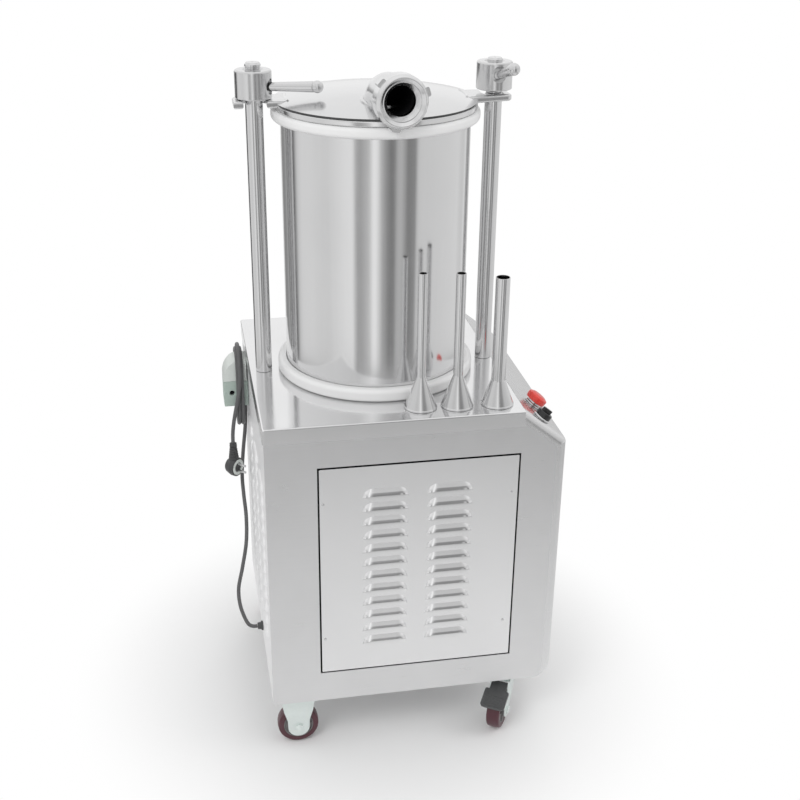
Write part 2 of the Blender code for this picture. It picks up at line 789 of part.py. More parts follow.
def make_load_frame():
    """The plate that takes the pressing force, and the four angles under it."""
    top = TABLE_TOP - PLATE - CLEAR
    bottom = top - LOAD_PLATE
    left = PANEL_LEFT + SHEET + CLEAR
    near = PANEL_NEAR + SHEET + FRAME_INSET
    far = PANEL_FAR - SHEET - FRAME_INSET
    mesh = block("load_plate", (left, near, bottom), (LOAD_PLATE_RIGHT, far, top))
    plate = place("load_plate", mesh, "iron")
    low = bottom - OVERRUN
    high = top + OVERRUN
    shape_with(plate, rod("cylinder_hole", CYLINDER_BORE + CLEAR, low, high, CYLINDER_STEPS))
    for side in (-1, 1):
        hole = rod("post_hole", POST_STUD_RADIUS + CLEAR, low, high, POST_STEPS)
        shape_with(plate, hole, location=(side * POST_SPACING / 2, 0, 0))
    width = ANGLE_WIDTH
    wall = ANGLE_THICKNESS
    section = [(0, 0), (width, 0), (width, wall), (wall, wall), (wall, width), (0, width)]
    corners = {"near_left": (left, near, 1, 1), "near_right": (LOAD_PLATE_RIGHT, near, -1, 1),
               "far_left": (left, far, 1, -1), "far_right": (LOAD_PLATE_RIGHT, far, -1, -1)}
    for name, (x, y, along_x, along_y) in corners.items():
        outline = [(x + along_x * first, y + along_y * second) for first, second in section]
        leg = prism(f"frame_leg_{name}", outline, BASE_TOP + CLEAR, bottom - CLEAR)
        place(f"frame_leg_{name}", leg, "iron")


def make_barrel():
    """The filling barrel with the white rings at its foot and on its rim."""
    foot = TABLE_TOP + CLEAR
    outer = BARREL_BORE + BARREL_WALL
    rim = TABLE_TOP + BARREL_HEIGHT
    wall = [(BARREL_BORE, foot), (outer, foot), (outer, rim), (BARREL_BORE, rim)]
    place("barrel", turned("barrel", wall, ROUND_STEPS), "polished")
    inner = outer + CLEAR
    reach = inner + RING_REACH
    top = TABLE_TOP + BASE_RING_HEIGHT
    profile = [(inner, foot), (reach - RING_EDGE, foot), (reach, foot + RING_EDGE),
               (reach, top - RING_EDGE), (reach - RING_EDGE, top), (inner, top)]
    place("barrel_base_ring", turned("barrel_base_ring", profile, ROUND_STEPS), "white")
    cap = rim + CLEAR
    low = rim - GASKET_SKIRT
    high = cap + GASKET_CAP
    profile = [(inner, low), (reach - RING_EDGE, low), (reach, low + RING_EDGE),
               (reach, high - RING_EDGE), (reach - RING_EDGE, high), (BARREL_BORE, high),
               (BARREL_BORE, cap), (inner, cap)]
    place("lid_gasket", turned("lid_gasket", profile, ROUND_STEPS), "white")


LID_BOTTOM = TABLE_TOP + LID_SEAT_HEIGHT
LID_BAND_TOP = LID_BOTTOM + LID_BAND
DOME_FOOT = LID_BAND_TOP + LID_GROOVE_HEIGHT
DOME_SPHERE = (LID_RADIUS ** 2 + LID_DOME_RISE ** 2) / (2 * LID_DOME_RISE)


def dome_points(radius, lift):
    """The dome's outline from its foot at a radius up to the axis, moved up by lift."""
    reach = asin(radius / DOME_SPHERE)
    centre = DOME_FOOT + LID_DOME_RISE - DOME_SPHERE
    points = []
    for step in range(DOME_STEPS + 1):
        angle = reach * (1 - step / DOME_STEPS)
        points.append((DOME_SPHERE * sin(angle), centre + lift + DOME_SPHERE * cos(angle)))
    points[-1] = (0, points[-1][1])
    return points


def lid_shadow(growth):
    """A filled copy of the lid's outside, grown a little, to trim what is welded to it."""
    outer = LID_RADIUS + growth
    low = LID_BOTTOM - OVERRUN
    profile = [(0, low), (outer, low), (outer, DOME_FOOT)] + dome_points(LID_RADIUS, growth)
    return turned("lid_shadow", profile, ROUND_STEPS)


def make_lid():
    """The domed lid, its two hooked lugs and the elbow that is welded to it."""
    groove = LID_RADIUS - LID_GROOVE_DEPTH
    rim = LID_RADIUS - LID_RIM_WIDTH
    inside = dome_points(rim, -LID_SHEET)
    under = [inside[-1], inside[0]]
    profile = [(rim, LID_BOTTOM), (LID_RADIUS, LID_BOTTOM), (LID_RADIUS, LID_BAND_TOP),
               (groove, LID_BAND_TOP), (groove, DOME_FOOT)]
    profile += dome_points(LID_RADIUS, 0) + under
    lid = place("lid", turned("lid", profile, ROUND_STEPS), "polished")
    hole = rod("lid_hole", OUTLET_BORE, LID_BOTTOM - OVERRUN, TABLE_TOP + OUTLET_HEIGHT, ELBOW_STEPS)
    shape_with(lid, hole, location=(ELBOW_X, ELBOW_Y, 0))
    post = POST_SPACING / 2
    slot = LUG_SLOT_RADIUS
    edge = LUG_HALF_WIDTH
    corner = LUG_CORNER
    outline = [(-LUG_INNER, -edge), (-post + slot, -edge)]
    outline += arc(-post, 0, slot, 0, pi, LUG_STEPS)
    outline += [(-post - slot, -edge), (-LUG_OUTER, -edge)]
    outline += arc(-LUG_OUTER + corner, edge - corner, corner, pi, pi / 2, FOLD_STEPS)
    outline.append((-LUG_INNER, edge))
    low = TABLE_TOP + LUG_HEIGHT
    for name, angle in (("lid_lug_left", 0), ("lid_lug_right", pi)):
        lug = place(name, prism(name, outline, low, low + LUG_THICKNESS), "polished",
                    turn=Matrix.Rotation(angle, 3, "Z"))
        shape_with(lug, lid_shadow(CLEAR))
    make_outlet()


def outlet_point(along, height):
    """A place along the outlet's direction from the elbow's upright axis."""
    return Vector((ELBOW_X + along * cos(OUTLET_AZIMUTH), ELBOW_Y + along * sin(OUTLET_AZIMUTH), height))


def elbow_path(start_below, end_beyond):
    """The elbow's centre line: up, through the bend and out level."""
    axis_z = TABLE_TOP + OUTLET_HEIGHT
    path = [outlet_point(0, axis_z - ELBOW_BEND - start_below)]
    for step in range(ELBOW_BEND_STEPS + 1):
        angle = pi / 2 * step / ELBOW_BEND_STEPS
        along = ELBOW_BEND * (1 - cos(angle))
        path.append(outlet_point(along, axis_z - ELBOW_BEND * (1 - sin(angle))))
    path.append(outlet_point(ELBOW_END + end_beyond, axis_z))
    return path


def make_outlet():
    """The elbow, trimmed to the lid, and the lugged ring nut on its end."""
    elbow = place("outlet_elbow", swept("outlet_elbow", elbow_path(OVERRUN, 0), OUTLET_RADIUS, ELBOW_STEPS),
                  "polished")
    shape_with(elbow, swept("elbow_bore", elbow_path(2 * OVERRUN, OVERRUN), OUTLET_BORE, ELBOW_STEPS))
    shape_with(elbow, lid_shadow(CLEAR))
    shoulder = ELBOW_END + CLEAR - RING_NUT_BACK
    front = RING_NUT_LENGTH
    outer = RING_NUT_RADIUS
    edge = RING_NUT_EDGE
    thread = OUTLET_RADIUS + CLEAR
    profile = [(thread, 0), (outer - RING_NUT_LIP, 0), (outer, RING_NUT_LIP), (outer, front - edge),
               (outer - RING_NUT_ROUNDING, front - edge / 2), (RING_NUT_MOUTH + RING_NUT_LIP, front),
               (RING_NUT_MOUTH, front), (OUTLET_BORE, shoulder + RING_NUT_LIP),
               (OUTLET_BORE, shoulder), (thread, shoulder)]
    direction = (cos(OUTLET_AZIMUTH), sin(OUTLET_AZIMUTH), 0)
    turn = axis_turn(direction)
    seat = outlet_point(RING_NUT_BACK, TABLE_TOP + OUTLET_HEIGHT)
    ring = place("outlet_ring_nut", turned("outlet_ring_nut", profile, NUT_STEPS), "polished",
                 location=seat, turn=turn)
    half = RING_LUG_WIDTH / 2
    root = outer - RING_NUT_EDGE
    for index in range(RING_LUGS):
        angle = RING_LUG_TURN + index * 2 * pi / RING_LUGS
        lug = block("ring_lug", (root, -half, RING_LUG_START),
                    (RING_LUG_RADIUS, half, RING_LUG_START + RING_LUG_LENGTH))
        lug.transform(Matrix.Rotation(angle, 4, "Z"))
        shape_with(ring, lug, "UNION", location=seat, turn=turn)


def make_posts():
    """The two posts, shouldered on the tabletop and held by a nut under the load plate."""
    plate_bottom = TABLE_TOP - PLATE - LOAD_PLATE - 2 * CLEAR
    nut_bottom = plate_bottom - POST_NUT_HEIGHT
    foot = TABLE_TOP + CLEAR
    collar = foot + POST_COLLAR_HEIGHT
    thread = TABLE_TOP + POST_THREAD_START
    tip = TABLE_TOP + POST_HEIGHT
    profile = [(0, nut_bottom), (POST_NUT_RADIUS, nut_bottom), (POST_NUT_RADIUS, plate_bottom),
               (POST_STUD_RADIUS, plate_bottom), (POST_STUD_RADIUS, foot), (POST_COLLAR_RADIUS, foot),
               (POST_COLLAR_RADIUS, collar), (POST_RADIUS, collar), (POST_RADIUS, thread),
               (POST_THREAD_RADIUS, thread), (POST_THREAD_RADIUS, tip - POST_TIP_CHAMFER),
               (POST_THREAD_RADIUS - POST_TIP_CHAMFER, tip), (0, tip)]
    for name, side in (("post_left", -1), ("post_right", 1)):
        place(name, turned(name, profile, POST_STEPS), "polished",
              location=(side * POST_SPACING / 2, 0, 0))


def handle_profile(root):
    """A bar with a ball end, from the bottom of its seat in the nut outwards."""
    neck = asin(HANDLE_RADIUS / HANDLE_BALL_RADIUS)
    profile = [(0, root), (HANDLE_RADIUS, root)]
    start = -pi / 2 + neck
    for step in range(SMALL_STEPS // 2 + 1):
        angle = start + (pi / 2 - start) * step / (SMALL_STEPS // 2)
        radius = HANDLE_BALL_RADIUS * cos(angle)
        profile.append((radius, HANDLE_REACH + HANDLE_BALL_RADIUS * sin(angle)))
    profile[-1] = (0, HANDLE_REACH + HANDLE_BALL_RADIUS)
    return profile


def make_clamp_nuts():
    """The tall nuts on the posts, each with a bar handle seated in a drilled hole."""
    lug_top = TABLE_TOP + LUG_HEIGHT + LUG_THICKNESS
    bore = POST_THREAD_RADIUS + CLEAR
    outer = NUT_RADIUS
    chamfer = NUT_CHAMFER
    nuts = (("left", -1, LEFT_NUT_LIFT, LEFT_HANDLE_AZIMUTH, LEFT_HANDLE_TILT),
            ("right", 1, RIGHT_NUT_LIFT, RIGHT_HANDLE_AZIMUTH, RIGHT_HANDLE_TILT))
    for name, side, lift, azimuth, tilt in nuts:
        base = (side * POST_SPACING / 2, 0, lug_top + lift)
        profile = [(bore, 0), (outer - chamfer, 0), (outer, chamfer), (outer, NUT_HEIGHT - chamfer),
                   (outer - chamfer, NUT_HEIGHT), (bore, NUT_HEIGHT)]
        nut = place(f"clamp_nut_{name}", turned(f"clamp_nut_{name}", profile, NUT_STEPS), "polished",
                    location=base)
        direction = (cos(tilt) * cos(azimuth), cos(tilt) * sin(azimuth), sin(tilt))
        turn = axis_turn(direction)
        middle = (base[0], base[1], base[2] + HANDLE_HEIGHT)
        floor = outer - HANDLE_SEAT_DEPTH
        shape_with(nut, rod("handle_seat", HANDLE_RADIUS + CLEAR, floor, outer + OVERRUN, SMALL_STEPS),
                   location=middle, turn=turn)
        shape_with(nut, rod("handle_spot", HANDLE_SPOT_RADIUS, outer - HANDLE_SPOT_DEPTH, outer + OVERRUN,
                            SMALL_STEPS), location=middle, turn=turn)
        place(f"nut_handle_{name}", turned(f"nut_handle_{name}", handle_profile(floor + CLEAR), SMALL_STEPS),
              "polished", location=middle, turn=turn)


def make_piston():
    """The food piston with its seal, and the rod that pushes it."""
    low = TABLE_TOP + PISTON_LIFT
    top = low + PISTON_HEIGHT
    groove_top = top - SEAL_DROP
    groove_low = groove_top - SEAL_HEIGHT
    groove = PISTON_RADIUS - SEAL_DEPTH
    under = top - PISTON_PLATE
    skirt = PISTON_RADIUS - SEAL_DEPTH - PISTON_SKIRT
    hub = low + ROD_SHOULDER
    profile = [(0, hub), (PISTON_HUB_RADIUS, hub), (PISTON_HUB_RADIUS, under), (skirt, under),
               (skirt, low), (PISTON_RADIUS, low), (PISTON_RADIUS, groove_low), (groove, groove_low),
               (groove, groove_top), (PISTON_RADIUS, groove_top), (PISTON_RADIUS, top), (0, top)]
    place("food_piston", turned("food_piston", profile, ROUND_STEPS), "polished")
    inner = groove + CLEAR
    outer = BARREL_BORE - CLEAR
    profile = [(inner, groove_low + CLEAR), (outer, groove_low + CLEAR),
               (outer, groove_top - CLEAR), (inner, groove_top - CLEAR)]
    place("piston_seal", turned("piston_seal", profile, ROUND_STEPS), "white")
    foot = CYLINDER_BOTTOM + CYLINDER_CAP + CLEAR
    head = foot + CYLINDER_PISTON
    disc = CYLINDER_BORE - CLEAR
    profile = [(0, foot), (disc, foot), (disc, head), (ROD_RADIUS, head),
               (ROD_RADIUS, hub - CLEAR), (0, hub - CLEAR)]
    place("piston_rod", turned("piston_rod", profile, CYLINDER_STEPS), "polished")


def make_cylinder():
    """The hydraulic cylinder that hangs under the load plate."""
    plate_top = TABLE_TOP - PLATE - CLEAR
    flange_top = plate_top - LOAD_PLATE - CLEAR
    flange_low = flange_top - CYLINDER_FLANGE
    head = flange_low - CYLINDER_HEAD
    floor = CYLINDER_BOTTOM + CYLINDER_CAP
    bore = ROD_RADIUS + CLEAR
    profile = [(0, CYLINDER_BOTTOM), (CYLINDER_RADIUS, CYLINDER_BOTTOM), (CYLINDER_RADIUS, flange_low),
               (CYLINDER_FLANGE_RADIUS, flange_low), (CYLINDER_FLANGE_RADIUS, flange_top),
               (CYLINDER_BORE, flange_top), (CYLINDER_BORE, plate_top), (bore, plate_top),
               (bore, head), (CYLINDER_BORE, head), (CYLINDER_BORE, floor), (0, floor)]
    tube = place("hydraulic_cylinder", turned("hydraulic_cylinder", profile, CYLINDER_STEPS), "steel")
    half = PORT_WIDTH / 2
    wall_middle = (CYLINDER_RADIUS + CYLINDER_BORE) / 2
    port = block("port", (-half, -PORT_REACH, PORT_HEIGHT - half),
                 (half, -wall_middle, PORT_HEIGHT + half))
    shape_with(tube, port, "UNION")


def make_power_pack():
    """Oil tank with its valve block, motor with its pump, and the pressure hose."""
    floor = BASE_TOP + CLEAR
    half = TANK_HALF_LENGTH
    wall = TANK_WALL
    tank_top = floor + TANK_HEIGHT
    tank = place("oil_tank", block("oil_tank", (TANK_LEFT, -half, floor), (TANK_RIGHT, half, tank_top)),
                 "iron")
    hollow = block("tank_hollow", (TANK_LEFT + wall, -half + wall, floor + wall),
                   (TANK_RIGHT - wall, half - wall, tank_top - wall))
    shape_with(tank, hollow)
    middle = (TANK_LEFT + TANK_RIGHT) / 2
    filler = rod("filler", FILLER_RADIUS, tank_top - wall - OVERRUN, tank_top + OVERRUN, POST_STEPS)
    shape_with(tank, filler, location=(middle, FILLER_Y, 0))
    valve_low = tank_top + CLEAR
    valve_right = middle + VALVE_HALF_WIDTH
    place("valve_block", block("valve_block", (middle - VALVE_HALF_WIDTH, -VALVE_HALF_LENGTH, valve_low),
                               (valve_right, VALVE_HALF_LENGTH, valve_low + VALVE_HEIGHT)), "steel")
    bell = MOTOR_BELL_RADIUS
    body = MOTOR_RADIUS
    length = MOTOR_LENGTH
    profile = [(0, 0), (bell, 0), (body, MOTOR_BELL), (body, length - MOTOR_BELL), (bell, length),
               (0, length)]
    axis_z = floor + MOTOR_FOOT_HEIGHT + body
    motor = place("motor", turned("motor", profile, CYLINDER_STEPS), "iron",
                  location=(MOTOR_X, MOTOR_NEAR, axis_z), turn=axis_turn((0, 1, 0)))
    foot = block("motor_foot", (MOTOR_X - MOTOR_FOOT_HALF_WIDTH, MOTOR_NEAR + MOTOR_FOOT_MARGIN, floor),
                 (MOTOR_X + MOTOR_FOOT_HALF_WIDTH, MOTOR_NEAR + length - MOTOR_FOOT_MARGIN,
                  axis_z - body / 2))
    shape_with(motor, foot, "UNION")
    pump_near = MOTOR_NEAR + length + CLEAR
    place("pump", block("pump", (MOTOR_X - PUMP_HALF_WIDTH, pump_near, axis_z - PUMP_HALF_WIDTH),
                        (MOTOR_X + PUMP_HALF_WIDTH, pump_near + PUMP_LENGTH, axis_z + PUMP_HALF_WIDTH)),
          "steel")
    hose_z = valve_low + VALVE_HEIGHT / 2
    start = Vector((valve_right + CLEAR, HOSE_VALVE_Y, hose_z))
    end = Vector((0, -PORT_REACH - CLEAR, PORT_HEIGHT))
    out = Vector((2 * HOSE_RADIUS, 0, 0))
    back = Vector((0, -2 * HOSE_RADIUS, 0))
    middle_z = (hose_z + PORT_HEIGHT) / 2
    bend_y = (HOSE_VALVE_Y + HOSE_SWING_Y) / 2
    route = [start, start + out, (HOSE_SWING_X, bend_y, hose_z - 3 * HOSE_RADIUS),
             (HOSE_SWING_X, HOSE_SWING_Y, middle_z), end + 2 * back, end + back, end]
    points = square_ended(route, smooth_curve(route, HOSE_POINTS))
    place("pressure_hose", swept("pressure_hose", points, HOSE_RADIUS, HOSE_SIDES), "rubber")


def make_nozzles():
    """Three filling nozzles that stand on the tabletop."""
    sizes = {"nozzle_small": (SMALL_NOZZLE_X, SMALL_NOZZLE_Y, SMALL_NOZZLE_RADIUS, SMALL_NOZZLE_HEIGHT,
                              SMALL_NOZZLE_CONE),
             "nozzle_medium": (MEDIUM_NOZZLE_X, MEDIUM_NOZZLE_Y, MEDIUM_NOZZLE_RADIUS, MEDIUM_NOZZLE_HEIGHT,
                               MEDIUM_NOZZLE_CONE),
             "nozzle_large": (LARGE_NOZZLE_X, LARGE_NOZZLE_Y, LARGE_NOZZLE_RADIUS, LARGE_NOZZLE_HEIGHT,
                              LARGE_NOZZLE_CONE)}
    wall = NOZZLE_WALL
    for name, (x, y, radius, height, cone) in sizes.items():
        profile = [(NOZZLE_BASE_RADIUS, 0), (NOZZLE_BASE_RADIUS, NOZZLE_LIP),
                   (NOZZLE_BASE_RADIUS - wall, NOZZLE_LIP + wall), (radius, cone), (radius, height),
                   (radius - wall, height), (radius - wall, cone), (NOZZLE_BASE_RADIUS - 2 * wall, 0)]
        place(name, turned(name, profile, NOZZLE_STEPS), "polished", location=(x, y, TABLE_TOP + CLEAR))


def make_controls():
    """Emergency stop and turning knob on the slope."""
    normal = Vector((sin(SLOPE_ANGLE), 0, cos(SLOPE_ANGLE)))
    turn = axis_turn(normal)
    seat_z = TABLE_TOP - (CONTROL_X - SLOPE_START_X) * tan(SLOPE_ANGLE)
    stop = Vector((CONTROL_X, ESTOP_Y, seat_z)) + CLEAR * normal
    knob = Vector((CONTROL_X, KNOB_Y, seat_z)) + CLEAR * normal
    bore = ESTOP_STEM_RADIUS + CLEAR
    height = ESTOP_COLLAR_HEIGHT
    profile = [(bore, 0), (ESTOP_COLLAR_RADIUS, 0), (ESTOP_COLLAR_RADIUS, height), (bore, height)]
    place("estop_collar", turned("estop_collar", profile, CONTROL_STEPS), "black", location=stop, turn=turn)
    low = ESTOP_TRAVEL + CLEAR
    head = height + ESTOP_TRAVEL + CLEAR
    top = head + ESTOP_HEAD_HEIGHT
    profile = [(0, low), (ESTOP_STEM_RADIUS, low), (ESTOP_STEM_RADIUS, head), (ESTOP_HEAD_RADIUS, head),
               (ESTOP_HEAD_RADIUS, top - ESTOP_HEAD_CROWN),
               (ESTOP_HEAD_RADIUS - ESTOP_HEAD_CROWN, top), (0, top)]
    place("estop_button", turned("estop_button", profile, CONTROL_STEPS), "red", location=stop, turn=turn)
    height = KNOB_COLLAR_HEIGHT
    profile = [(0, 0), (KNOB_COLLAR_RADIUS, 0), (KNOB_COLLAR_RADIUS, height), (0, height)]
    place("knob_collar", turned("knob_collar", profile, CONTROL_STEPS), "polished", location=knob, turn=turn)
    low = height + CLEAR
    top = low + KNOB_HEIGHT
    dial = place("selector_knob", rod("selector_knob", KNOB_RADIUS, low, top, CONTROL_STEPS), "black",
                 location=knob, turn=turn)
    half = KNOB_GRIP_WIDTH / 2
    grip = block("knob_grip", (-half, -KNOB_RADIUS + half, top - KNOB_HEIGHT / 2),
                 (half, KNOB_RADIUS - half, top + KNOB_GRIP_HEIGHT))
    shape_with(dial, grip, "UNION", location=knob, turn=turn)


def make_junction_box():
    """The pale box on the cord side: a plain body and a cover with an arched shoulder."""
    inner_x = PANEL_LEFT - CLEAR
    far_y = BOX_NEAR_Y + BOX_WIDTH
    fillet = BOX_FILLET
    body = place("junction_box", block("junction_box", (BOX_OUTER_X, BOX_NEAR_Y, BOX_BOTTOM),
                                       (inner_x, far_y, BOX_SPLIT - CLEAR)), "pale box")
    hole = rod("box_hole", BOX_HOLE_RADIUS, -OVERRUN, BOX_HOLE_DEPTH, SMALL_STEPS)
    shape_with(body, hole, location=(BOX_HOLE_X, BOX_NEAR_Y, BOX_HOLE_Z), turn=axis_turn((0, 1, 0)))
    outline = [(BOX_NEAR_Y, BOX_SPLIT)]
    outline += arc(BOX_NEAR_Y + fillet, BOX_TOP - fillet, fillet, pi, pi / 2, BOX_STEPS)
    outline += arc(far_y - fillet, BOX_TOP - fillet, fillet, pi / 2, 0, BOX_STEPS)
    outline.append((far_y, BOX_SPLIT))
    lip_x = CABINET_LEFT - CLEAR
    cover = place("junction_box_cover", prism("junction_box_cover", outline, BOX_OUTER_X, lip_x, "YZ"),
                  "pale box")
    arch = arc(BOX_OUTER_X + BOX_ARCH_WIDTH, BOX_TOP - BOX_ARCH_HEIGHT, BOX_ARCH_WIDTH, pi, pi / 2, BOX_STEPS,
               BOX_ARCH_HEIGHT / BOX_ARCH_WIDTH)
    reach = lip_x + OVERRUN
    profile = [(BOX_OUTER_X, BOX_SPLIT - OVERRUN)] + arch + [(reach, BOX_TOP), (reach, BOX_SPLIT - OVERRUN)]
    shape_with(cover, prism("arch", profile, BOX_NEAR_Y - OVERRUN, far_y + OVERRUN, "XZ"), "INTERSECT")


BOX_MIDDLE_Y = BOX_NEAR_Y + BOX_WIDTH / 2
HANK_TOP_CENTRE = BOX_TOP - HANK_CENTRE_BELOW_TOP
HANK_RADIUS = (hypot(BOX_WIDTH / 2 - BOX_FILLET, HANK_CENTRE_BELOW_TOP - BOX_FILLET) + BOX_FILLET
               + CORD_RADIUS + CLEAR)
HANK_LOW_CENTRE = HANK_TOP_CENTRE - HANK_STRAND


def hank_points():
    """The hank's centre line: up behind the box, over it, down in front, and round again."""
    near_y = BOX_MIDDLE_Y - HANK_RADIUS
    far_y = BOX_MIDDLE_Y + HANK_RADIUS
    points = [(HANK_FIRST_X, far_y, HANK_LOW_CENTRE - 2 * CORD_RADIUS)]
    spaces = HANK_STRAND_POINTS + 1
    x = HANK_FIRST_X
    for loop in range(HANK_ARCHES):
        for step in range(spaces):
            share = step / spaces
            points.append((x - HANK_PITCH * share, far_y, HANK_LOW_CENTRE + HANK_STRAND * share))
        x -= HANK_PITCH
        for y, z in arc(BOX_MIDDLE_Y, HANK_TOP_CENTRE, HANK_RADIUS, 0, pi, HANK_ARC_POINTS - 1):
            points.append((x, y, z))
        if loop == HANK_ARCHES - 1:
            continue
        for step in range(1, spaces):
            points.append((x, near_y, HANK_TOP_CENTRE - HANK_STRAND * step / spaces))
        low = arc(BOX_MIDDLE_Y, HANK_LOW_CENTRE, HANK_RADIUS, pi, 2 * pi, HANK_ARC_POINTS - 1)
        for y, z in low[:-1]:
            points.append((x, y, z))
    drop = HANK_TOP_CENTRE - LEAD_END - 2 * CORD_RADIUS
    for step in range(1, LEAD_POINTS + 1):
        share = step / LEAD_POINTS
        ease = share * share * (3 - 2 * share)
        points.append((x + (LEAD_X - x) * ease, near_y, HANK_TOP_CENTRE - drop * share))
    points.append((LEAD_X, near_y, LEAD_END))
    return [Vector(point) for point in points]


def least_gap(points, radius):
    """The least gap between parts of a tube that aren't neighbours along it."""
    least = None
    reach = 6 * radius
    fine = evenly_spread(points, 8 * len(points))
    spacing = (fine[1] - fine[0]).length
    skip = int(reach / spacing) + 1
    for index, point in enumerate(fine):
        for other in fine[index + skip:]:
            gap = (point - other).length - 2 * radius
            if least is None or gap < least:
                least = gap
    return least


CORD_ROUTE = (
    (-0.2425, -0.028, 0.1325),
    (-0.2505, -0.021, 0.1490),
    (-0.2560, -0.012, 0.1700),
    (-0.2560, 0.002, 0.1950),
    (-0.2465, 0.020, 0.2270),
    (-0.2360, 0.045, 0.2660),
    (-0.2325, 0.072, 0.3050),
    (-0.2340, 0.098, 0.3400),
    (-0.2340, 0.122, 0.3700),
    (-0.2290, 0.146, 0.4050),
    (-0.2225, 0.163, 0.4450),
    (-0.2200, 0.1705, 0.4750),
)


def make_cord():
    """Gland, the run up the side, the hank over the box and the plug on its end."""
    start_x = PANEL_LEFT - CLEAR
    neck = GLAND_NECK_RADIUS
    profile = [(0, 0), (GLAND_RADIUS, 0), (GLAND_RADIUS, GLAND_FLANGE), (neck, GLAND_FLANGE),
               (neck, GLAND_LENGTH), (0, GLAND_LENGTH)]
    gland = place("cord_gland", turned("cord_gland", profile, GLAND_STEPS), "dark",
                  location=(start_x, GLAND_Y, GLAND_Z), turn=axis_turn((-1, 0, 0)))
    ON_THE_CORD.append(gland)
    hank = hank_points()
    first = Vector((start_x - GLAND_LENGTH - CLEAR, GLAND_Y, GLAND_Z))
    last = hank[0] - Vector((0, 0, CLEAR))
    out = Vector((-2 * CORD_RADIUS, 0, 0))
    up = Vector((0, 0, 2 * CORD_RADIUS))
    route = [first, first + out, *CORD_ROUTE, last - up, last]
    run = square_ended(route, smooth_curve(route, RUN_POINTS))
    curve_tube("power_cord", run, CORD_RADIUS, CORD_SIDES, "cord")
    curve_tube("cord_hank", hank, CORD_RADIUS, 1, "cord")
    print("least gap in the hank, mm:", round(1000 * least_gap(hank, CORD_RADIUS), 2))
    run_length = sum((b - a).length for a, b in zip(run, run[1:]))
    hank_length = sum((b - a).length for a, b in zip(hank, hank[1:]))
    print("cord length, m:", round(run_length + hank_length, 3))
    make_plug(hank[-1])


def make_plug(lead_end):
    """The moulded plug that hangs on the end of the cord."""
    top = lead_end.z - CLEAR
    centre_z = top - PLUG_RELIEF_LENGTH - PLUG_RADIUS
    centre = Vector((lead_end.x, lead_end.y, centre_z))
    turn = axis_turn((cos(PLUG_AZIMUTH), sin(PLUG_AZIMUTH), 0))
    half = PLUG_THICKNESS / 2
    plug = place("mains_plug", rod("mains_plug", PLUG_RADIUS, -half, half, PLUG_STEPS), "dark",
                 location=centre, turn=turn)
    ON_THE_CORD.append(plug)
    profile = [(0, centre_z), (PLUG_RELIEF_FOOT, centre_z),
               (PLUG_RELIEF_BOTTOM, top - PLUG_RELIEF_LENGTH), (PLUG_RELIEF_TOP, top), (0, top)]
    relief = turned("relief", profile, SMALL_STEPS)
    shape_with(plug, relief, "UNION", location=(lead_end.x, lead_end.y, 0))
    for side in (-1, 1):
        pin = rod("pin", PIN_RADIUS, 0, half + PIN_LENGTH, PIN_STEPS)
        pin.transform(Matrix.Translation((0, side * PIN_SPACING / 2, 0)))
        shape_with(plug, pin, "UNION", location=centre, turn=turn)


def wheel_mesh(name):
    """A caster wheel about Z, with a flat of its outline straight below its axle."""
    tread = WHEEL_RADIUS / cos(pi / WHEEL_STEPS)
    half = WHEEL_HALF_WIDTH
    bore = AXLE_RADIUS + CLEAR
    shoulder = WHEEL_SHOULDER
    side = [(bore, HUB_HALF_WIDTH), (HUB_RADIUS, HUB_HALF_WIDTH), (HUB_RADIUS, half - CORE_DEPTH),
            (CORE_RADIUS, half - CORE_DEPTH), (CORE_RADIUS, half), (tread - shoulder, half),
            (tread, half - shoulder)]
    profile = [(radius, -height) for radius, height in side]
    profile += [(radius, height) for radius, height in reversed(side)]
    return turned(name, profile, WHEEL_STEPS)


def upright_disc_turn():
    """The turn that lays a wheel's axis along local Y with a flat facing down."""
    return Matrix.Rotation(-pi / 2, 3, "X")


def cheek(name, outline, side):
    """One cheek of a fork, on the given side of the wheel."""
    low, high = sorted((side * CHEEK_INNER, side * (CHEEK_INNER + CHEEK_THICKNESS)))
    return prism(name, outline, low, high, "XZ")


def add_fork_parts(piece, outline, axle_x, parent):
    """Join both cheeks and the axle to a fork's crown."""
    for side in (-1, 1):
        shape_with(piece, cheek("cheek", outline, side), "UNION", parent=parent)
    reach = CHEEK_INNER + CHEEK_THICKNESS + SHEET
    axle = rod("axle", AXLE_RADIUS, -reach, reach, SMALL_STEPS)
    axle.transform(Matrix.Translation((axle_x, 0, WHEEL_RADIUS)) @ upright_disc_turn().to_4x4())
    shape_with(piece, axle, "UNION", parent=parent)


def carrier(name, x, y, azimuth):
    """An empty on a caster's upright axis, turned to the way the caster trails."""
    made = bpy.data.objects.new(name, None)
    bpy.context.collection.objects.link(made)
    made.parent = ROOT
    made.location = (x, y, 0)
    made.rotation_euler = (0, 0, azimuth)
    return made


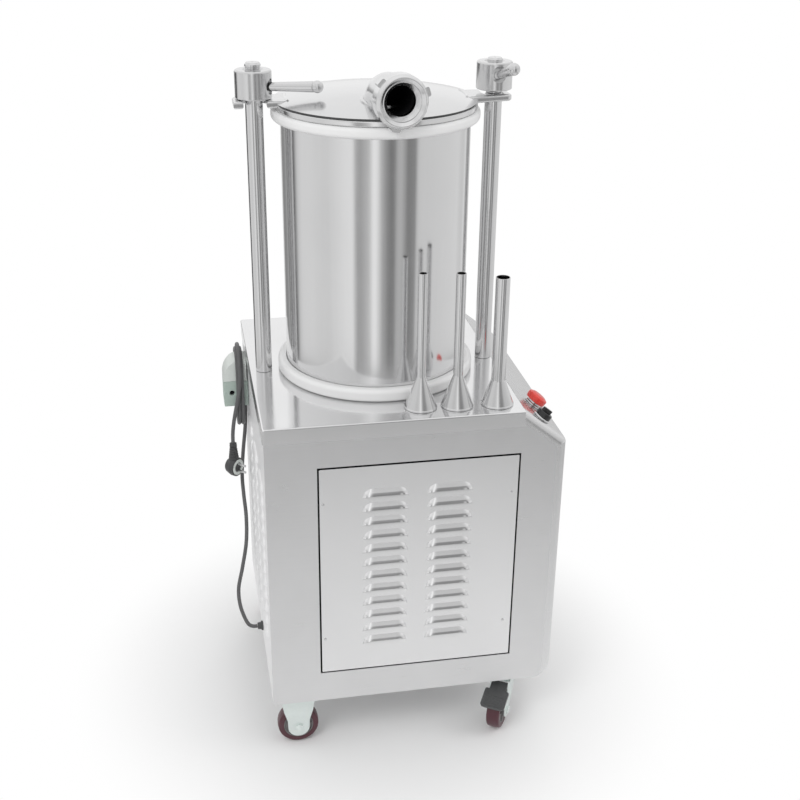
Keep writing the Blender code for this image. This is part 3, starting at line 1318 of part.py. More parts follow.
def make_fixed_casters():
    """The two fixed casters on the cord side, wheels across the cabinet's length."""
    top = CABINET_BOTTOM - CLEAR
    low = top - CASTER_PLATE
    tip = FIXED_TIP_HALF
    outline = [(-FIXED_TOP_HALF, low + CASTER_PLATE / 2)]
    outline += arc(0, WHEEL_RADIUS, tip, pi, 2 * pi, TIP_STEPS)
    outline.append((FIXED_TOP_HALF, low + CASTER_PLATE / 2))
    for name, side in (("near", -1), ("far", 1)):
        stand = carrier(f"fixed_stand_{name}", FIXED_X, CASTER_MIDDLE_Y + side * FIXED_SPREAD, 0)
        plate = block("plate", (-FIXED_PLATE_HALF_LENGTH, -FIXED_PLATE_HALF_WIDTH, low),
                      (FIXED_PLATE_HALF_LENGTH, FIXED_PLATE_HALF_WIDTH, top))
        bracket = place(f"fixed_bracket_{name}", plate, "zinc", parent=stand)
        add_fork_parts(bracket, outline, 0, stand)
        place(f"fixed_wheel_{name}", wheel_mesh(f"fixed_wheel_{name}"), "maroon",
              location=(0, 0, WHEEL_RADIUS), turn=upright_disc_turn(), parent=stand)


def swivel_cheek_outline(top):
    """A swivel fork's cheek, leaning back from its crown to the axle."""
    tip = SWIVEL_TIP_RADIUS
    trail = SWIVEL_TRAIL
    outline = [(-CROWN_BACK, top)]
    outline += arc(trail, WHEEL_RADIUS, tip, pi, 2 * pi, TIP_STEPS)
    outline += [(SWIVEL_SHOULDER_REACH, SWIVEL_SHOULDER_HEIGHT), (CROWN_FRONT, top)]
    return outline


def make_pedal(name, stand):
    """The brake pedal over the wheel, hinged in the fork's cheeks."""
    start = (PEDAL_START, PEDAL_START_HEIGHT)
    end = (PEDAL_END, PEDAL_END_HEIGHT)
    slope = atan2(end[1] - start[1], end[0] - start[0])
    up = (-sin(slope) * PEDAL_THICKNESS, cos(slope) * PEDAL_THICKNESS)
    foot = (start[0] + (end[0] - start[0]) / 3, start[1] + (end[1] - start[1]) / 3)
    outline = [foot, end, (end[0] + up[0], end[1] + up[1]), (foot[0] + up[0], foot[1] + up[1])]
    half = PEDAL_HALF_WIDTH
    pedal = place(name, prism(name, [(a - start[0], b - start[1]) for a, b in outline], -half, half, "XZ"),
                  "dark", location=(start[0], 0, start[1]), parent=stand)
    reach = foot[0] - start[0] + PEDAL_NECK_OVERLAP
    drop = foot[1] - start[1]
    neck_outline = [(0, 0), (reach, drop), (reach + up[0], drop + up[1]), up]
    neck_half = PEDAL_NECK_HALF_WIDTH
    shape_with(pedal, prism("neck", neck_outline, -neck_half, neck_half, "XZ"), "UNION",
               location=(start[0], 0, start[1]), parent=stand)


def make_swivel_casters():
    """The two braked swivel casters on the control side."""
    top = CABINET_BOTTOM - CLEAR
    low = top - CASTER_PLATE
    race_low = low - RACE_HEIGHT
    crown_top = race_low - CLEAR
    crown_low = crown_top - CROWN_THICKNESS
    half = SWIVEL_PLATE_HALF
    for name, side, azimuth in (("near", -1, NEAR_SWIVEL_AZIMUTH), ("far", 1, FAR_SWIVEL_AZIMUTH)):
        y = CASTER_MIDDLE_Y + side * SWIVEL_SPREAD
        plate = place(f"swivel_plate_{name}", block("plate", (-half, -half, low), (half, half, top)), "zinc",
                      location=(SWIVEL_X, y, 0))
        race = rod("race", RACE_RADIUS, race_low, low + CASTER_PLATE / 2, CONTROL_STEPS)
        shape_with(plate, race, "UNION", location=(SWIVEL_X, y, 0))
        stand = carrier(f"swivel_stand_{name}", SWIVEL_X, y, azimuth)
        edge = CHEEK_INNER + CHEEK_THICKNESS
        crown = block("crown", (-CROWN_BACK, -edge, crown_low), (CROWN_FRONT, edge, crown_top))
        fork = place(f"swivel_fork_{name}", crown, "zinc", parent=stand)
        add_fork_parts(fork, swivel_cheek_outline(crown_top), SWIVEL_TRAIL, stand)
        place(f"swivel_wheel_{name}", wheel_mesh(f"swivel_wheel_{name}"), "maroon",
              location=(SWIVEL_TRAIL, 0, WHEEL_RADIUS), turn=upright_disc_turn(), parent=stand)
        make_pedal(f"brake_pedal_{name}", stand)


def centre_the_machine():
    """Move ROOT so that the middle of the footprint, cord left out, is at the origin."""
    bpy.context.view_layer.update()
    graph = bpy.context.evaluated_depsgraph_get()
    places = []
    for piece in PIECES:
        if piece in ON_THE_CORD:
            continue
        shown = piece.evaluated_get(graph)
        mesh = shown.to_mesh()
        places += [shown.matrix_world @ corner.co for corner in mesh.vertices]
        shown.to_mesh_clear()
    middle = [(min(p[axis] for p in places) + max(p[axis] for p in places)) / 2 for axis in (0, 1)]
    ROOT.location = (-middle[0], -middle[1], 0)
    print("barrel axis at:", [round(-value, 6) for value in middle])


make_control_panel()
make_side_panels()
make_service_door()
make_base_plate()
make_tabletop()
make_load_frame()
make_barrel()
make_lid()
make_posts()
make_clamp_nuts()
make_piston()
make_cylinder()
make_power_pack()
make_nozzles()
make_controls()
make_junction_box()
make_cord()
make_fixed_casters()
make_swivel_casters()
centre_the_machine()
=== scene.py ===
"""Looks for the hydraulic sausage stuffer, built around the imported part.

Metres, +Z up. Places are written from the barrel's axis and from the floor, -Y is the side with
the service door and +X the side with the sloping control panel. SHIFT carries them to the part's
own origin.
"""

from math import asin, atan2, cos, hypot, pi, radians, sin, sqrt, tan

import bmesh
import bpy
from mathutils import Matrix, Vector


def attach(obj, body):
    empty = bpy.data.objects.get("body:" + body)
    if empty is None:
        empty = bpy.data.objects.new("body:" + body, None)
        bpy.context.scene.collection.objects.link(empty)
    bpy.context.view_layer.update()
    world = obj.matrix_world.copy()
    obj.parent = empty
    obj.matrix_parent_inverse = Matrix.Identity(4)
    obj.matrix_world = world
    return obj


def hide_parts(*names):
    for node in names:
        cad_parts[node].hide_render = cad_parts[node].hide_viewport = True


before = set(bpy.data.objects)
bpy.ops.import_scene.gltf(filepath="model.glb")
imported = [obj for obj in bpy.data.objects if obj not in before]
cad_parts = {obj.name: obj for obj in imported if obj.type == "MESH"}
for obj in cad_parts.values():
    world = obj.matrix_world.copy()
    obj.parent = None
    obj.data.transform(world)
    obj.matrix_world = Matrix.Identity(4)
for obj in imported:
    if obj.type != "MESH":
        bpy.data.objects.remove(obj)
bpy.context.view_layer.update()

SHIFT = Vector((-0.0106, 0.010818, 0))
SHARP = radians(32)
BEND_SHARP = radians(50)
CLEAR = 0.0003

# Cabinet
CABINET_LEFT = -0.2175
CABINET_RIGHT = 0.2812
CABINET_NEAR = -0.237
CABINET_FAR = 0.245
CABINET_BOTTOM = 0.104
TABLE_TOP = 0.636
LIP_DEPTH = 0.027
TABLE_BEND = 0.0025
SHEET = 0.0015
PLATE = 0.003
SKIN = SHEET + CLEAR
SLOPE_START_X = 0.2073
SLOPE_ANGLE = atan2(0.059, CABINET_RIGHT - SLOPE_START_X)
FOLD_RADIUS = 0.010
EDGE_RADIUS = 0.014
CORNER_RADIUS = 0.028
LEAST_FILLET = 0.001
BEND_STEPS = 10
PANEL_LEFT = CABINET_LEFT + SKIN
PANEL_NEAR = CABINET_NEAR + SKIN
PANEL_FAR = CABINET_FAR - SKIN
PANEL_TOP = TABLE_TOP - PLATE - CLEAR
PANEL_INSET = EDGE_RADIUS + 2 * SHEET

# Service door and louvres
DOOR_LEFT = -0.1295
DOOR_RIGHT = 0.2005
DOOR_TOP = TABLE_TOP - 0.078
DOOR_BOTTOM = TABLE_TOP - 0.4715
DOOR_GAP = 0.0030
DOOR_SCREWS = ((-0.1236, -0.142), (-0.1237, -0.404), (0.190, -0.146), (0.187, -0.400))
REBATE_WIDTH = 0.012
REBATE_THICKNESS = 0.0021
LOUVRE_ROWS = 12
DOOR_LOUVRE = (0.077, 0.0175, 0.0062)
DOOR_LOUVRE_LOW = TABLE_TOP - 0.4135
DOOR_LOUVRE_PITCH = (0.4135 - 0.1275) / (LOUVRE_ROWS - 1)
DOOR_LOUVRE_COLUMNS = (-0.0597, 0.0476)
CORD_SIDE_LOUVRE = (0.071, 0.0135, 0.0052)
CORD_SIDE_LOUVRE_LOW = 0.215
CORD_SIDE_LOUVRE_PITCH = 0.026
CORD_SIDE_LOUVRE_COLUMNS = (-0.180, -0.075, 0.030)

# Barrel, rings and lid
BARREL_BORE = 0.150
BARREL_WALL = 0.003
BARREL_HEIGHT = 0.4367
ROUND = 144
RING_REACH = 0.0145
BASE_RING_HEIGHT = 0.022
GASKET_SKIRT = 0.0087
GASKET_CAP = 0.009
LID_RADIUS = 0.163
LID_GROOVE = LID_RADIUS - 0.0032
LID_RIM = LID_RADIUS - 0.017
LID_DOME_RISE = 0.0185
LID_SHEET = 0.004
LID_BOTTOM = TABLE_TOP + BARREL_HEIGHT + 2 * CLEAR + GASKET_CAP
LID_BAND_TOP = LID_BOTTOM + 0.0090
DOME_FOOT = LID_BAND_TOP + 0.0033
DOME_SPHERE = (LID_RADIUS ** 2 + LID_DOME_RISE ** 2) / (2 * LID_DOME_RISE)

# Posts, lugs, nuts and handles; a handle has its post's x, its nut's lift, its azimuth and tilt
SIDES = {"left": -1, "right": 1}
POST_X = 0.1935
POST_RADIUS = 0.014
THREAD_RADIUS = 0.0127
POST_HEIGHT = 0.518
NUT_RADIUS = 0.029
NUT_HEIGHT = 0.044
LUG_BOTTOM = TABLE_TOP + 0.4515
LUG_THICKNESS = 0.011
LUG_TOP = LUG_BOTTOM + LUG_THICKNESS
LUG_SLOT = 0.018
LUG_NEAR = 0.030
LUG_ROUND = 0.0038
LUG_TIPS = {"left": 0.2268, "right": 0.2198}
LUG_ROOT_X = 0.136
LUG_ROOT_Y = 0.0373
LUG_TIP_Y = 0.0205
HANDLE_RADIUS = 0.0067
HANDLE_REACH = 0.105
BALL_RADIUS = 0.0097
HANDLE_HEIGHT = 0.0175
SEAT_FLOOR = NUT_RADIUS - 0.012
SPOT_FLOOR = NUT_RADIUS - 0.0065
SPOT_RADIUS = 0.0115
HANDLES = {"left": (-POST_X, 0.0005, radians(-25), radians(3)),
           "right": (POST_X, 0.006, radians(-88), radians(16.5))}

# Outlet
ELBOW_X = -0.003
ELBOW_Y = -0.085
OUTLET_AZIMUTH = radians(-83.8)
OUTLET_WAY = Vector((cos(OUTLET_AZIMUTH), sin(OUTLET_AZIMUTH), 0))
OUTLET_Z = TABLE_TOP + 0.488
OUTLET_RADIUS = 0.031
OUTLET_BORE = 0.0245
ELBOW_BEND = 0.036
ELBOW_END = 0.0872
RING_NUT_RADIUS = 0.040
RING_NUT_LENGTH = 0.0277
RING_NUT_BACK = 0.0803
RING_NUT_MOUTH = 0.0345
RING_NUT_THROAT = 0.0222
RING_NUT_CONE = 0.012
RING_LUG_RADIUS = 0.045
RING_LUG_TURN = radians(18)

# Nozzles as (x, y, tube radius, height, height of the cone), and controls
NOZZLES = {"small": (0.043, -0.191, 0.007, 0.227, 0.053),
           "medium": (0.103, -0.194, 0.008, 0.225, 0.053),
           "large": (0.169, -0.197, 0.0115, 0.216, 0.042)}
NOZZLE_BASE = 0.027
NOZZLE_WALL = 0.0012
CONTROL_X = 0.243
ESTOP_Y = -0.150
KNOB_Y = -0.205

# Junction box and cord
BOX_LEFT = -0.260
BOX_NEAR = 0.113
BOX_FAR = BOX_NEAR + 0.050
BOX_MIDDLE = (BOX_NEAR + BOX_FAR) / 2
BOX_TOP = TABLE_TOP - 0.028
BOX_SPLIT = TABLE_TOP - 0.069
BOX_BOTTOM = TABLE_TOP - 0.119
BOX_FILLET = 0.008
BOX_ARCH_WIDTH = 0.034
BOX_ARCH_HEIGHT = 0.040
BOX_HOLE = (-0.245, BOX_NEAR, TABLE_TOP - 0.0925)
CORD_RADIUS = 0.0035
GLAND = (PANEL_LEFT - CLEAR, -0.030, 0.128)
GLAND_LENGTH = 0.010
HANK_PITCH = 0.0073
HANK_FIRST_X = -0.2198
HANK_OUTWARD = 0.0072
HANK_OUT_SHARE = 0.36
HANK_STRAND = 0.078
HANK_TOP = BOX_TOP - 0.022
HANK_LOW = HANK_TOP - HANK_STRAND
HANK_RADIUS = (hypot((BOX_FAR - BOX_NEAR) / 2 - BOX_FILLET, BOX_TOP - HANK_TOP - BOX_FILLET) + BOX_FILLET
               + CORD_RADIUS + CLEAR)
LEAD_X = -0.249
LEAD_END = 0.450
CORD_ROUTE = (
    (-0.2425, -0.028, 0.1325), (-0.2505, -0.021, 0.1490), (-0.2560, -0.012, 0.1700),
    (-0.2560, 0.002, 0.1950), (-0.2465, 0.020, 0.2270), (-0.2360, 0.045, 0.2660),
    (-0.2325, 0.072, 0.3050), (-0.2340, 0.098, 0.3400), (-0.2340, 0.122, 0.3700),
    (-0.2290, 0.146, 0.4050), (-0.2225, 0.163, 0.4450), (-0.2200, 0.1705, 0.4750))
PLUG_RELIEF = 0.030
PLUG_RADIUS = 0.0178
PLUG_BACK = 0.014
PLUG_FACE = 0.010
PLUG_AZIMUTH = radians(-42)

# Casters
WHEEL_RADIUS = 0.0365
WHEEL_HALF_WIDTH = 0.012
CHEEK_INNER = 0.015
CHEEK_OUTER = 0.0175
CASTER_TOP = CABINET_BOTTOM - CLEAR
CASTER_PLATE_LOW = CASTER_TOP - 0.003
FIXED_X = -0.171
FIXED_YS = {"near": -0.200, "far": 0.208}
SWIVEL_X = 0.208
SWIVELS = {"near": (-0.197, radians(-122)), "far": (0.205, radians(160))}
SWIVEL_TRAIL = 0.032
PEDAL_START = (0.022, 0.0845)
PEDAL_END = (0.074, 0.062)
PEDAL_THICKNESS = 0.006

# Tone of the studio by compass angle in degrees, +X at 0, as (angle, tone): near the floor,
# a little above the horizon and high up
LOW_BANDS = (
    (-180, 0.77), (-160, 0.74), (-135, 0.88), (-127, 0.92), (-122, 0.42), (-116, 0.43), (-107, 0.60),
    (-102, 1.0), (-98, 0.96), (-91, 0.47), (-82, 0.23), (-77, 0.24), (-73, 0.51), (-68, 0.55),
    (-60, 0.24), (-50, 0.30), (-47, 0.70), (0, 0.76), (20, 0.79), (27, 0.71), (34, 0.68), (44, 0.84),
    (60, 0.58), (80, 0.78), (98, 0.84), (103, 0.28), (115, 0.28), (121, 0.46), (126, 0.04),
    (142, 0.04), (150, 0.66), (158, 0.79))
MIDDLE_BANDS = (
    (-180, 0.74), (-150, 0.72), (-128, 0.62), (-110, 0.72), (-103, 0.98), (-97, 0.92), (-88, 0.46),
    (-79, 0.26), (-62, 0.30), (-46, 0.60), (10, 0.72), (45, 0.70), (70, 0.96), (115, 0.96),
    (135, 0.74), (150, 0.72), (180, 0.72))
HIGH_BANDS = (
    (-180, 0.86), (-150, 0.82), (-120, 0.74), (-102, 0.96), (-88, 0.66), (-75, 0.55), (-55, 0.60),
    (-35, 0.74), (10, 0.86), (60, 0.90), (120, 0.92), (180, 0.86))
ROOF_TONE = 0.93
# Where one ring of tones passes into the next, in degrees over the horizon
RING_EDGES = ((-6, 4), (13, 24), (52, 70))
EVEN_LIGHT = 0.82

# ---------------------------------------------------------------- materials

# Each bare steel as (slot, name, tone, roughness, scale of the grain, its bump, tint of the clouds)
STEELS = {
    "panel": ("panel_steel", "brushed_panel", 0.81, 0.30, (14, 14, 700), 0.006, 0.03),
    "door": ("panel_steel", "brushed_door", 0.93, 0.24, (14, 14, 700), 0.004, 0.02),
    "pressed": ("panel_steel", "pressed_louvre", 0.90, 0.11, (60, 60, 60), 0.030, 0.05),
    "side": ("panel_steel", "brushed_side", 0.82, 0.26, (14, 14, 700), 0.004, 0.03),
    "table": ("polished_steel", "polished_table", 0.88, 0.12, (500, 10, 10), 0.004, 0.03),
    "barrel": ("polished_steel", "polished_barrel", 0.76, 0.12, (260, 260, 5), 0.006, 0.02),
    "lid": ("polished_steel", "polished_lid", 0.78, 0.15, (60, 60, 60), 0.006, 0.03),
    "turned": ("polished_steel", "turned_steel", 0.74, 0.21, (20, 20, 900), 0.010, 0.03),
    "drawn": ("polished_steel", "drawn_steel", 0.74, 0.14, (400, 400, 8), 0.008, 0.03),
    "cast": ("polished_steel", "polished_casting", 0.80, 0.17, (160, 160, 160), 0.020, 0.06),
}
# Each other look as (slot, name, colour, roughness, layers of noise, the shader's own values);
# a layer is (scale, detail, tint, change of roughness, height of its bump in mm)
OTHERS = {
    "cord_side": ("panel_steel", "brushed_cord_side", (0.95, 0.95, 0.955), 0.36, (
        ((12, 600, 12), 3, 0.012, 0.020, 0.006), ((9, 9, 7), 2, 0.02, 0.02, 0)), {"Metallic": 0.35}),
    "white": ("white_seal", "white_seal", (0.90, 0.90, 0.90), 0.36, (
        (14, 3, 0.015, 0.05, 0), (600, 2, 0, 0.03, 0.01)), {"Coat Weight": 0.15}),
    "zinc": ("zinc_plate", "zinc_plate", (0.82, 0.88, 0.86), 0.34, (
        (40, 4, 0.07, 0.07, 0.01), (500, 3, 0.02, 0.03, 0.015)), {"Metallic": 0.7}),
    "pale": ("pale_green_box", "pale_green_plastic", (0.47, 0.56, 0.51), 0.45, (
        (30, 3, 0.03, 0.05, 0), (900, 2, 0.01, 0, 0.03)), {}),
    # Pale plastic of the box cover, also used for the ring of painted highlight on the plug's face
    "pale_cover_and_highlight": ("pale_green_box", "pale_plastic_cover", (0.74, 0.78, 0.75), 0.42, (
        (30, 3, 0.03, 0.05, 0), (900, 2, 0.01, 0, 0.03)), {}),
    "maroon": ("maroon_tread", "maroon_tread", (0.085, 0.024, 0.034), 0.36, (
        (60, 3, 0.10, 0.08, 0), (700, 3, 0.05, 0, 0.03)), {"Coat Weight": 0.1}),
    "core": ("dark_plastic", "grey_wheel_core", (0.20, 0.19, 0.19), 0.42, (
        (80, 3, 0.08, 0.06, 0.01),), {}),
    # Dark grey plastic, also used for the ring of painted shade in the lid's groove
    "dark": ("dark_plastic", "dark_grey_plastic", (0.075, 0.077, 0.078), 0.40, (
        (45, 3, 0.12, 0.07, 0), (800, 2, 0.04, 0, 0.03)), {}),
    "cord": ("cord_sheath", "cord_sheath", (0.120, 0.120, 0.122), 0.40, (
        (50, 3, 0.12, 0.08, 0), (900, 2, 0.03, 0, 0.02)), {}),
    "plug": ("dark_plastic", "moulded_plug", (0.060, 0.060, 0.062), 0.36, (
        (60, 3, 0.10, 0.06, 0), (900, 2, 0.03, 0, 0.03)), {}),
    "red": ("red_head", "red_head", (0.80, 0.060, 0.045), 0.32, (
        (60, 3, 0.04, 0.05, 0), (900, 2, 0, 0, 0.01)), {"Coat Weight": 0.3}),
    "black": ("black_plastic", "black_plastic", (0.016, 0.016, 0.017), 0.28, (
        (60, 3, 0.15, 0.05, 0), (900, 2, 0, 0, 0.01)), {"Coat Weight": 0.2}),
    "iron": (None, "painted_iron", (0.10, 0.16, 0.24), 0.45, (
        (40, 4, 0.10, 0.08, 0), (500, 3, 0.03, 0, 0.06)), {}),
    "hose": (None, "hose_rubber", (0.030, 0.030, 0.032), 0.55, (
        (60, 3, 0.15, 0.08, 0), (700, 2, 0.05, 0, 0.05)), {}),
    # Near-black painted shade for gaps, holes and bores that would lie in shade
    "hole": ("polished_steel", "dark_hollow", (0.012, 0.012, 0.013), 0.85, (
        (90, 2, 0.2, 0.05, 0), (900, 2, 0, 0, 0.02)), {"Specular IOR Level": 0.1}),
}


def node(tree, kind, inputs=(), **settings):
    """A shader node; each of its inputs is a value or another node's output."""
    made = tree.nodes.new("ShaderNode" + kind)
    for name, value in settings.items():
        setattr(made, name, value)
    for socket, value in dict(inputs).items():
        feed(tree, made.inputs[socket], value)
    return made


def feed(tree, socket, value):
    """Set a socket, or link it where the value is another node's output."""
    if isinstance(value, bpy.types.NodeSocket):
        tree.links.new(value, socket)
    else:
        socket.default_value = value


def maths(tree, operation, *values):
    """A Math node's output."""
    return node(tree, "Math", enumerate(values), operation=operation).outputs[0]


def noise(tree, coords, scale, detail, seed):
    """Noise between about -1 and 1, with its own scale along each axis."""
    scale = scale if isinstance(scale, tuple) else (scale, scale, scale)
    mapping = node(tree, "Mapping", {
        "Vector": coords, "Scale": scale, "Location": (seed, seed * 0.7, seed * 1.3)})
    made = node(tree, "TexNoise", {"Vector": mapping.outputs["Vector"], "Scale": 1.0, "Detail": detail,
                                   "Roughness": 0.55})
    return maths(tree, "MULTIPLY_ADD", made.outputs["Fac"], 3.2, -1.6)


def surface(name, colour, roughness, layers, values):
    """A procedural material with layers of noise in its tint, roughness and bump."""
    made = bpy.data.materials.new(name)
    made.use_nodes = True
    tree = made.node_tree
    coords = node(tree, "TexCoord").outputs["Object"]
    totals = [1.0, roughness, 0.0]
    for index, (scale, detail, *changes) in enumerate(layers):
        cloud = noise(tree, coords, scale, detail, 3.7 * (index + 1))
        for part, change in enumerate(changes):
            if change:
                totals[part] = maths(tree, "MULTIPLY_ADD", cloud, change, totals[part])
    tint, rough, height = totals
    tinted = node(tree, "VectorMath", {0: colour, "Scale": tint}, operation="SCALE")
    bump = node(tree, "Bump", {"Strength": 1.0, "Distance": 0.001, "Height": height})
    wanted = {**values, "Base Color": tinted.outputs["Vector"], "Normal": bump.outputs["Normal"],
              "Roughness": maths(tree, "MAXIMUM", rough, 0.03)}
    for socket, value in wanted.items():
        feed(tree, tree.nodes["Principled BSDF"].inputs[socket], value)
    return made


def steel(name, tone, roughness, grain, bump, clouds):
    """Bare stainless steel: fine stretched grain, slow clouds and faint smudges."""
    layers = ((grain, 3, 0.012, 0.020, bump), ((9, 9, 7), 2, clouds, 0.02, 0),
              ((38, 38, 30), 4, 0.008, 0.020, 0))
    return surface(name, (tone, tone, tone * 1.005), roughness, layers, {"Metallic": 1.0})


LOOKS = {look: steel(*row[1:]) for look, row in STEELS.items()}
LOOKS.update((look, surface(*row[1:])) for look, row in OTHERS.items())


# ---------------------------------------------------------------- outlines and meshes

def closed_mesh(corners, faces):
    """A mesh from corners and faces, with every face turned outwards."""
    work = bmesh.new()
    made = [work.verts.new(corner) for corner in corners]
    for face in faces:
        work.faces.new([made[index] for index in face])
    bmesh.ops.recalc_face_normals(work, faces=work.faces)
    mesh = bpy.data.meshes.new("mesh")
    work.to_mesh(mesh)
    work.free()
    return mesh


def filleted(corners, closed=True, steps=4):
    """Points of an outline whose corners (a, b, fillet radius) are rounded."""
    count = len(corners)
    points = []
    for index, (a, b, *fillet) in enumerate(corners):
        here = Vector((a, b))
        before = (Vector(corners[index - 1][:2]) - here).normalized()
        after = (Vector(corners[(index + 1) % count][:2]) - here).normalized()
        at_end = not closed and index in (0, count - 1)
        if not fillet or at_end or before.angle(after) / 2 > radians(89.5):
            points.append((a, b))
            continue
        half = before.angle(after) / 2
        centre = here + (before + after).normalized() * (fillet[0] / sin(half))
        start = here + before * (fillet[0] / tan(half)) - centre
        end = here + after * (fillet[0] / tan(half)) - centre
        first = atan2(start.y, start.x)
        sweep = (atan2(end.y, end.x) - first + pi) % (2 * pi) - pi
        points += arc(*centre, fillet[0], first, first + sweep, steps)
    return points


def arc(centre_a, centre_b, radius, start, end, steps, squash=1.0):
    """Points on an arc from one angle to another, both ends included."""
    angles = [start + (end - start) * step / steps for step in range(steps + 1)]
    return [(centre_a + radius * cos(angle), centre_b + radius * squash * sin(angle)) for angle in angles]


def rectangle(left, low, right, high, fillet=None, steps=4):
    """A rectangle's outline, with rounded corners where a fillet is given."""
    corners = [(left, low), (right, low), (right, high), (left, high)]
    return filleted([(*corner, fillet) for corner in corners], steps=steps) if fillet else corners


def lofted(loops, ends="flat"):
    """A shape through loops of equally many points. Its ends are "flat" caps, "strips" of faces
    between the two halves of a loop, or "joined" to each other."""
    count = len(loops[0])
    last = (len(loops) - 1) * count
    faces = []
    if ends == "flat":
        faces = [list(range(count)), list(range(last, last + count))]
    if ends == "strips":
        faces = [[base + index, base + index + 1, base + count - 2 - index, base + count - 1 - index]
                 for base in (0, last) for index in range(count // 2 - 1)]
    for level in range(len(loops) if ends == "joined" else len(loops) - 1):
        low, high = level * count, (level + 1) % len(loops) * count
        for index in range(count):
            after = (index + 1) % count
            faces.append([low + index, low + after, high + after, high + index])
    return closed_mesh([point for loop in loops for point in loop], faces)


def sheet(front, back):
    """A closed sheet between two grids of points."""
    return lofted([one + other[::-1] for one, other in zip(front, back)], "strips")


def prism(outline, low, high, plane="XY"):
    """Extrude a closed outline, drawn in the named plane, from low to high."""
    order = {"XY": (0, 1, 2), "XZ": (0, 2, 1), "YZ": (2, 0, 1)}[plane]
    return lofted([[tuple((a, b, level)[index] for index in order) for a, b in outline]
                   for level in (low, high)])


def block(low, high):
    """A box between two corners."""
    return prism(rectangle(*low[:2], *high[:2]), low[2], high[2])


def turned(profile, steps, closed=True):
    """Turn an outline of (radius, height) points about Z."""
    corners = []
    rings = []
    for radius, height in profile:
        count = 1 if abs(radius) < 1e-9 else steps
        rings.append(list(range(len(corners), len(corners) + count)))
        angles = [2 * pi * (step + 0.5) / steps for step in range(count)]
        corners += [(radius * cos(angle), radius * sin(angle), height) for angle in angles]
    faces = []
    for ring, other in zip(rings, rings[1:] + (rings[:1] if closed else [])):
        for step in range(steps if len(ring) + len(other) > 2 else 0):
            after = (step + 1) % steps
            around = [ring[step % len(ring)], ring[after % len(ring)],
                      other[after % len(other)], other[step % len(other)]]
            faces.append(list(dict.fromkeys(around)))
    return closed_mesh(corners, faces)


def lathe(profile, steps, rounding=4):
    """Turn an outline whose corners are filleted."""
    return turned(filleted(profile, steps=rounding), steps)


def rod(radius, low, high, steps):
    """A plain round bar about Z, for cutting and for hidden parts."""
    return turned([(0, low), (radius, low), (radius, high), (0, high)], steps)


def hexagon(radius, seat, end, fillet=0.001):
    """A bolt head or nut about Z, rounded at its free end."""
    return lathe([(0, seat), (radius, seat), (radius, end, fillet), (0, end)], 6, 3)


def swept(places, radius, sides):
    """A round bar along a chain of points."""
    places = [Vector(point) for point in places]
    normal = None
    loops = []
    for index, centre in enumerate(places):
        tangent = (places[min(index + 1, len(places) - 1)] - places[max(index - 1, 0)]).normalized()
        if normal is None:
            normal = tangent.orthogonal().normalized()
        normal = (normal - tangent * normal.dot(tangent)).normalized()
        other = tangent.cross(normal)
        angles = [2 * pi * side / sides for side in range(sides)]
        loops.append([centre + radius * (cos(angle) * normal + sin(angle) * other) for angle in angles])
    return lofted(loops)


def joined(*meshes):
    """Several meshes as one, each closed in itself."""
    work = bmesh.new()
    for mesh in meshes:
        work.from_mesh(mesh)
    whole = bpy.data.meshes.new("mesh")
    work.to_mesh(whole)
    work.free()
    return whole


def moved(mesh, place=(0, 0, 0), turn=Matrix.Identity(3)):
    """The same mesh, turned and moved."""
    mesh.transform(Matrix.Translation(place) @ turn.to_4x4())
    return mesh


def about(axis, angle):
    """A rotation about one of the axes."""
    return Matrix.Rotation(angle, 3, axis)


def axis_turn(direction):
    """The rotation that takes +Z to a direction, keeping local X level."""
    forward = Vector(direction).normalized()
    side = Vector((0, 0, 1)).cross(forward).normalized()
    return Matrix((side, forward.cross(side), forward)).transposed()


# ---------------------------------------------------------------- pieces

def linked(name, data, place=(0, 0, 0), turn=None):
    """A new object in the scene."""
    made = bpy.data.objects.new(name, data)
    bpy.context.scene.collection.objects.link(made)
    made.location = place
    if turn is not None:
        made.rotation_euler = turn.to_euler()
    return made


def add(name, mesh, look, node_name=None, body="machine", place=(0, 0, 0), turn=None, bevel=0.0,
        segments=2, sharp=SHARP):
    """Put a piece in the scene on its CAD body, in place of the CAD node that it stands for."""
    mesh.name = name
    mesh.materials.append(LOOKS[look])
    mesh.shade_smooth()
    mesh.set_sharp_from_angle(angle=sharp)
    piece = linked(name, mesh, Vector(place) + SHIFT, turn)
    if bevel:
        edge = piece.modifiers.new("edges", "BEVEL")
        edge.width = bevel
        edge.segments = segments
        edge.limit_method = "ANGLE"
        edge.angle_limit = radians(40)
        edge.harden_normals = True
    else:
        piece.modifiers.new("flats", "WEIGHTED_NORMAL").keep_sharp = True
    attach(piece, body)
    if node_name:
        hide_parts(node_name)
    return piece


def shape_with(piece, mesh, place=(0, 0, 0), turn=None, how="DIFFERENCE"):
    """Cut a shape out of a piece, or keep what both share, as the piece's own mesh."""
    tool = linked("tool", mesh, Vector(place) + SHIFT, turn)
    change = piece.modifiers.new("change", "BOOLEAN")
    change.operation = how
    change.solver = "EXACT"
    change.object = tool
    piece.modifiers.move(len(piece.modifiers) - 1, 0)
    for modifier in piece.modifiers:
        modifier.show_viewport = modifier.name == "change"
    bpy.context.view_layer.update()
    graph = bpy.context.evaluated_depsgraph_get()
    result = bpy.data.meshes.new_from_object(piece.evaluated_get(graph))
    piece.modifiers.remove(piece.modifiers["change"])
    for modifier in piece.modifiers:
        modifier.show_viewport = True
    look = piece.data.materials[0]
    piece.data = result
    result.materials.clear()
    result.materials.append(look)
    result.shade_smooth()
    result.set_sharp_from_angle(angle=SHARP)
    bpy.data.objects.remove(tool, do_unlink=True)


# ---------------------------------------------------------------- camera and cord

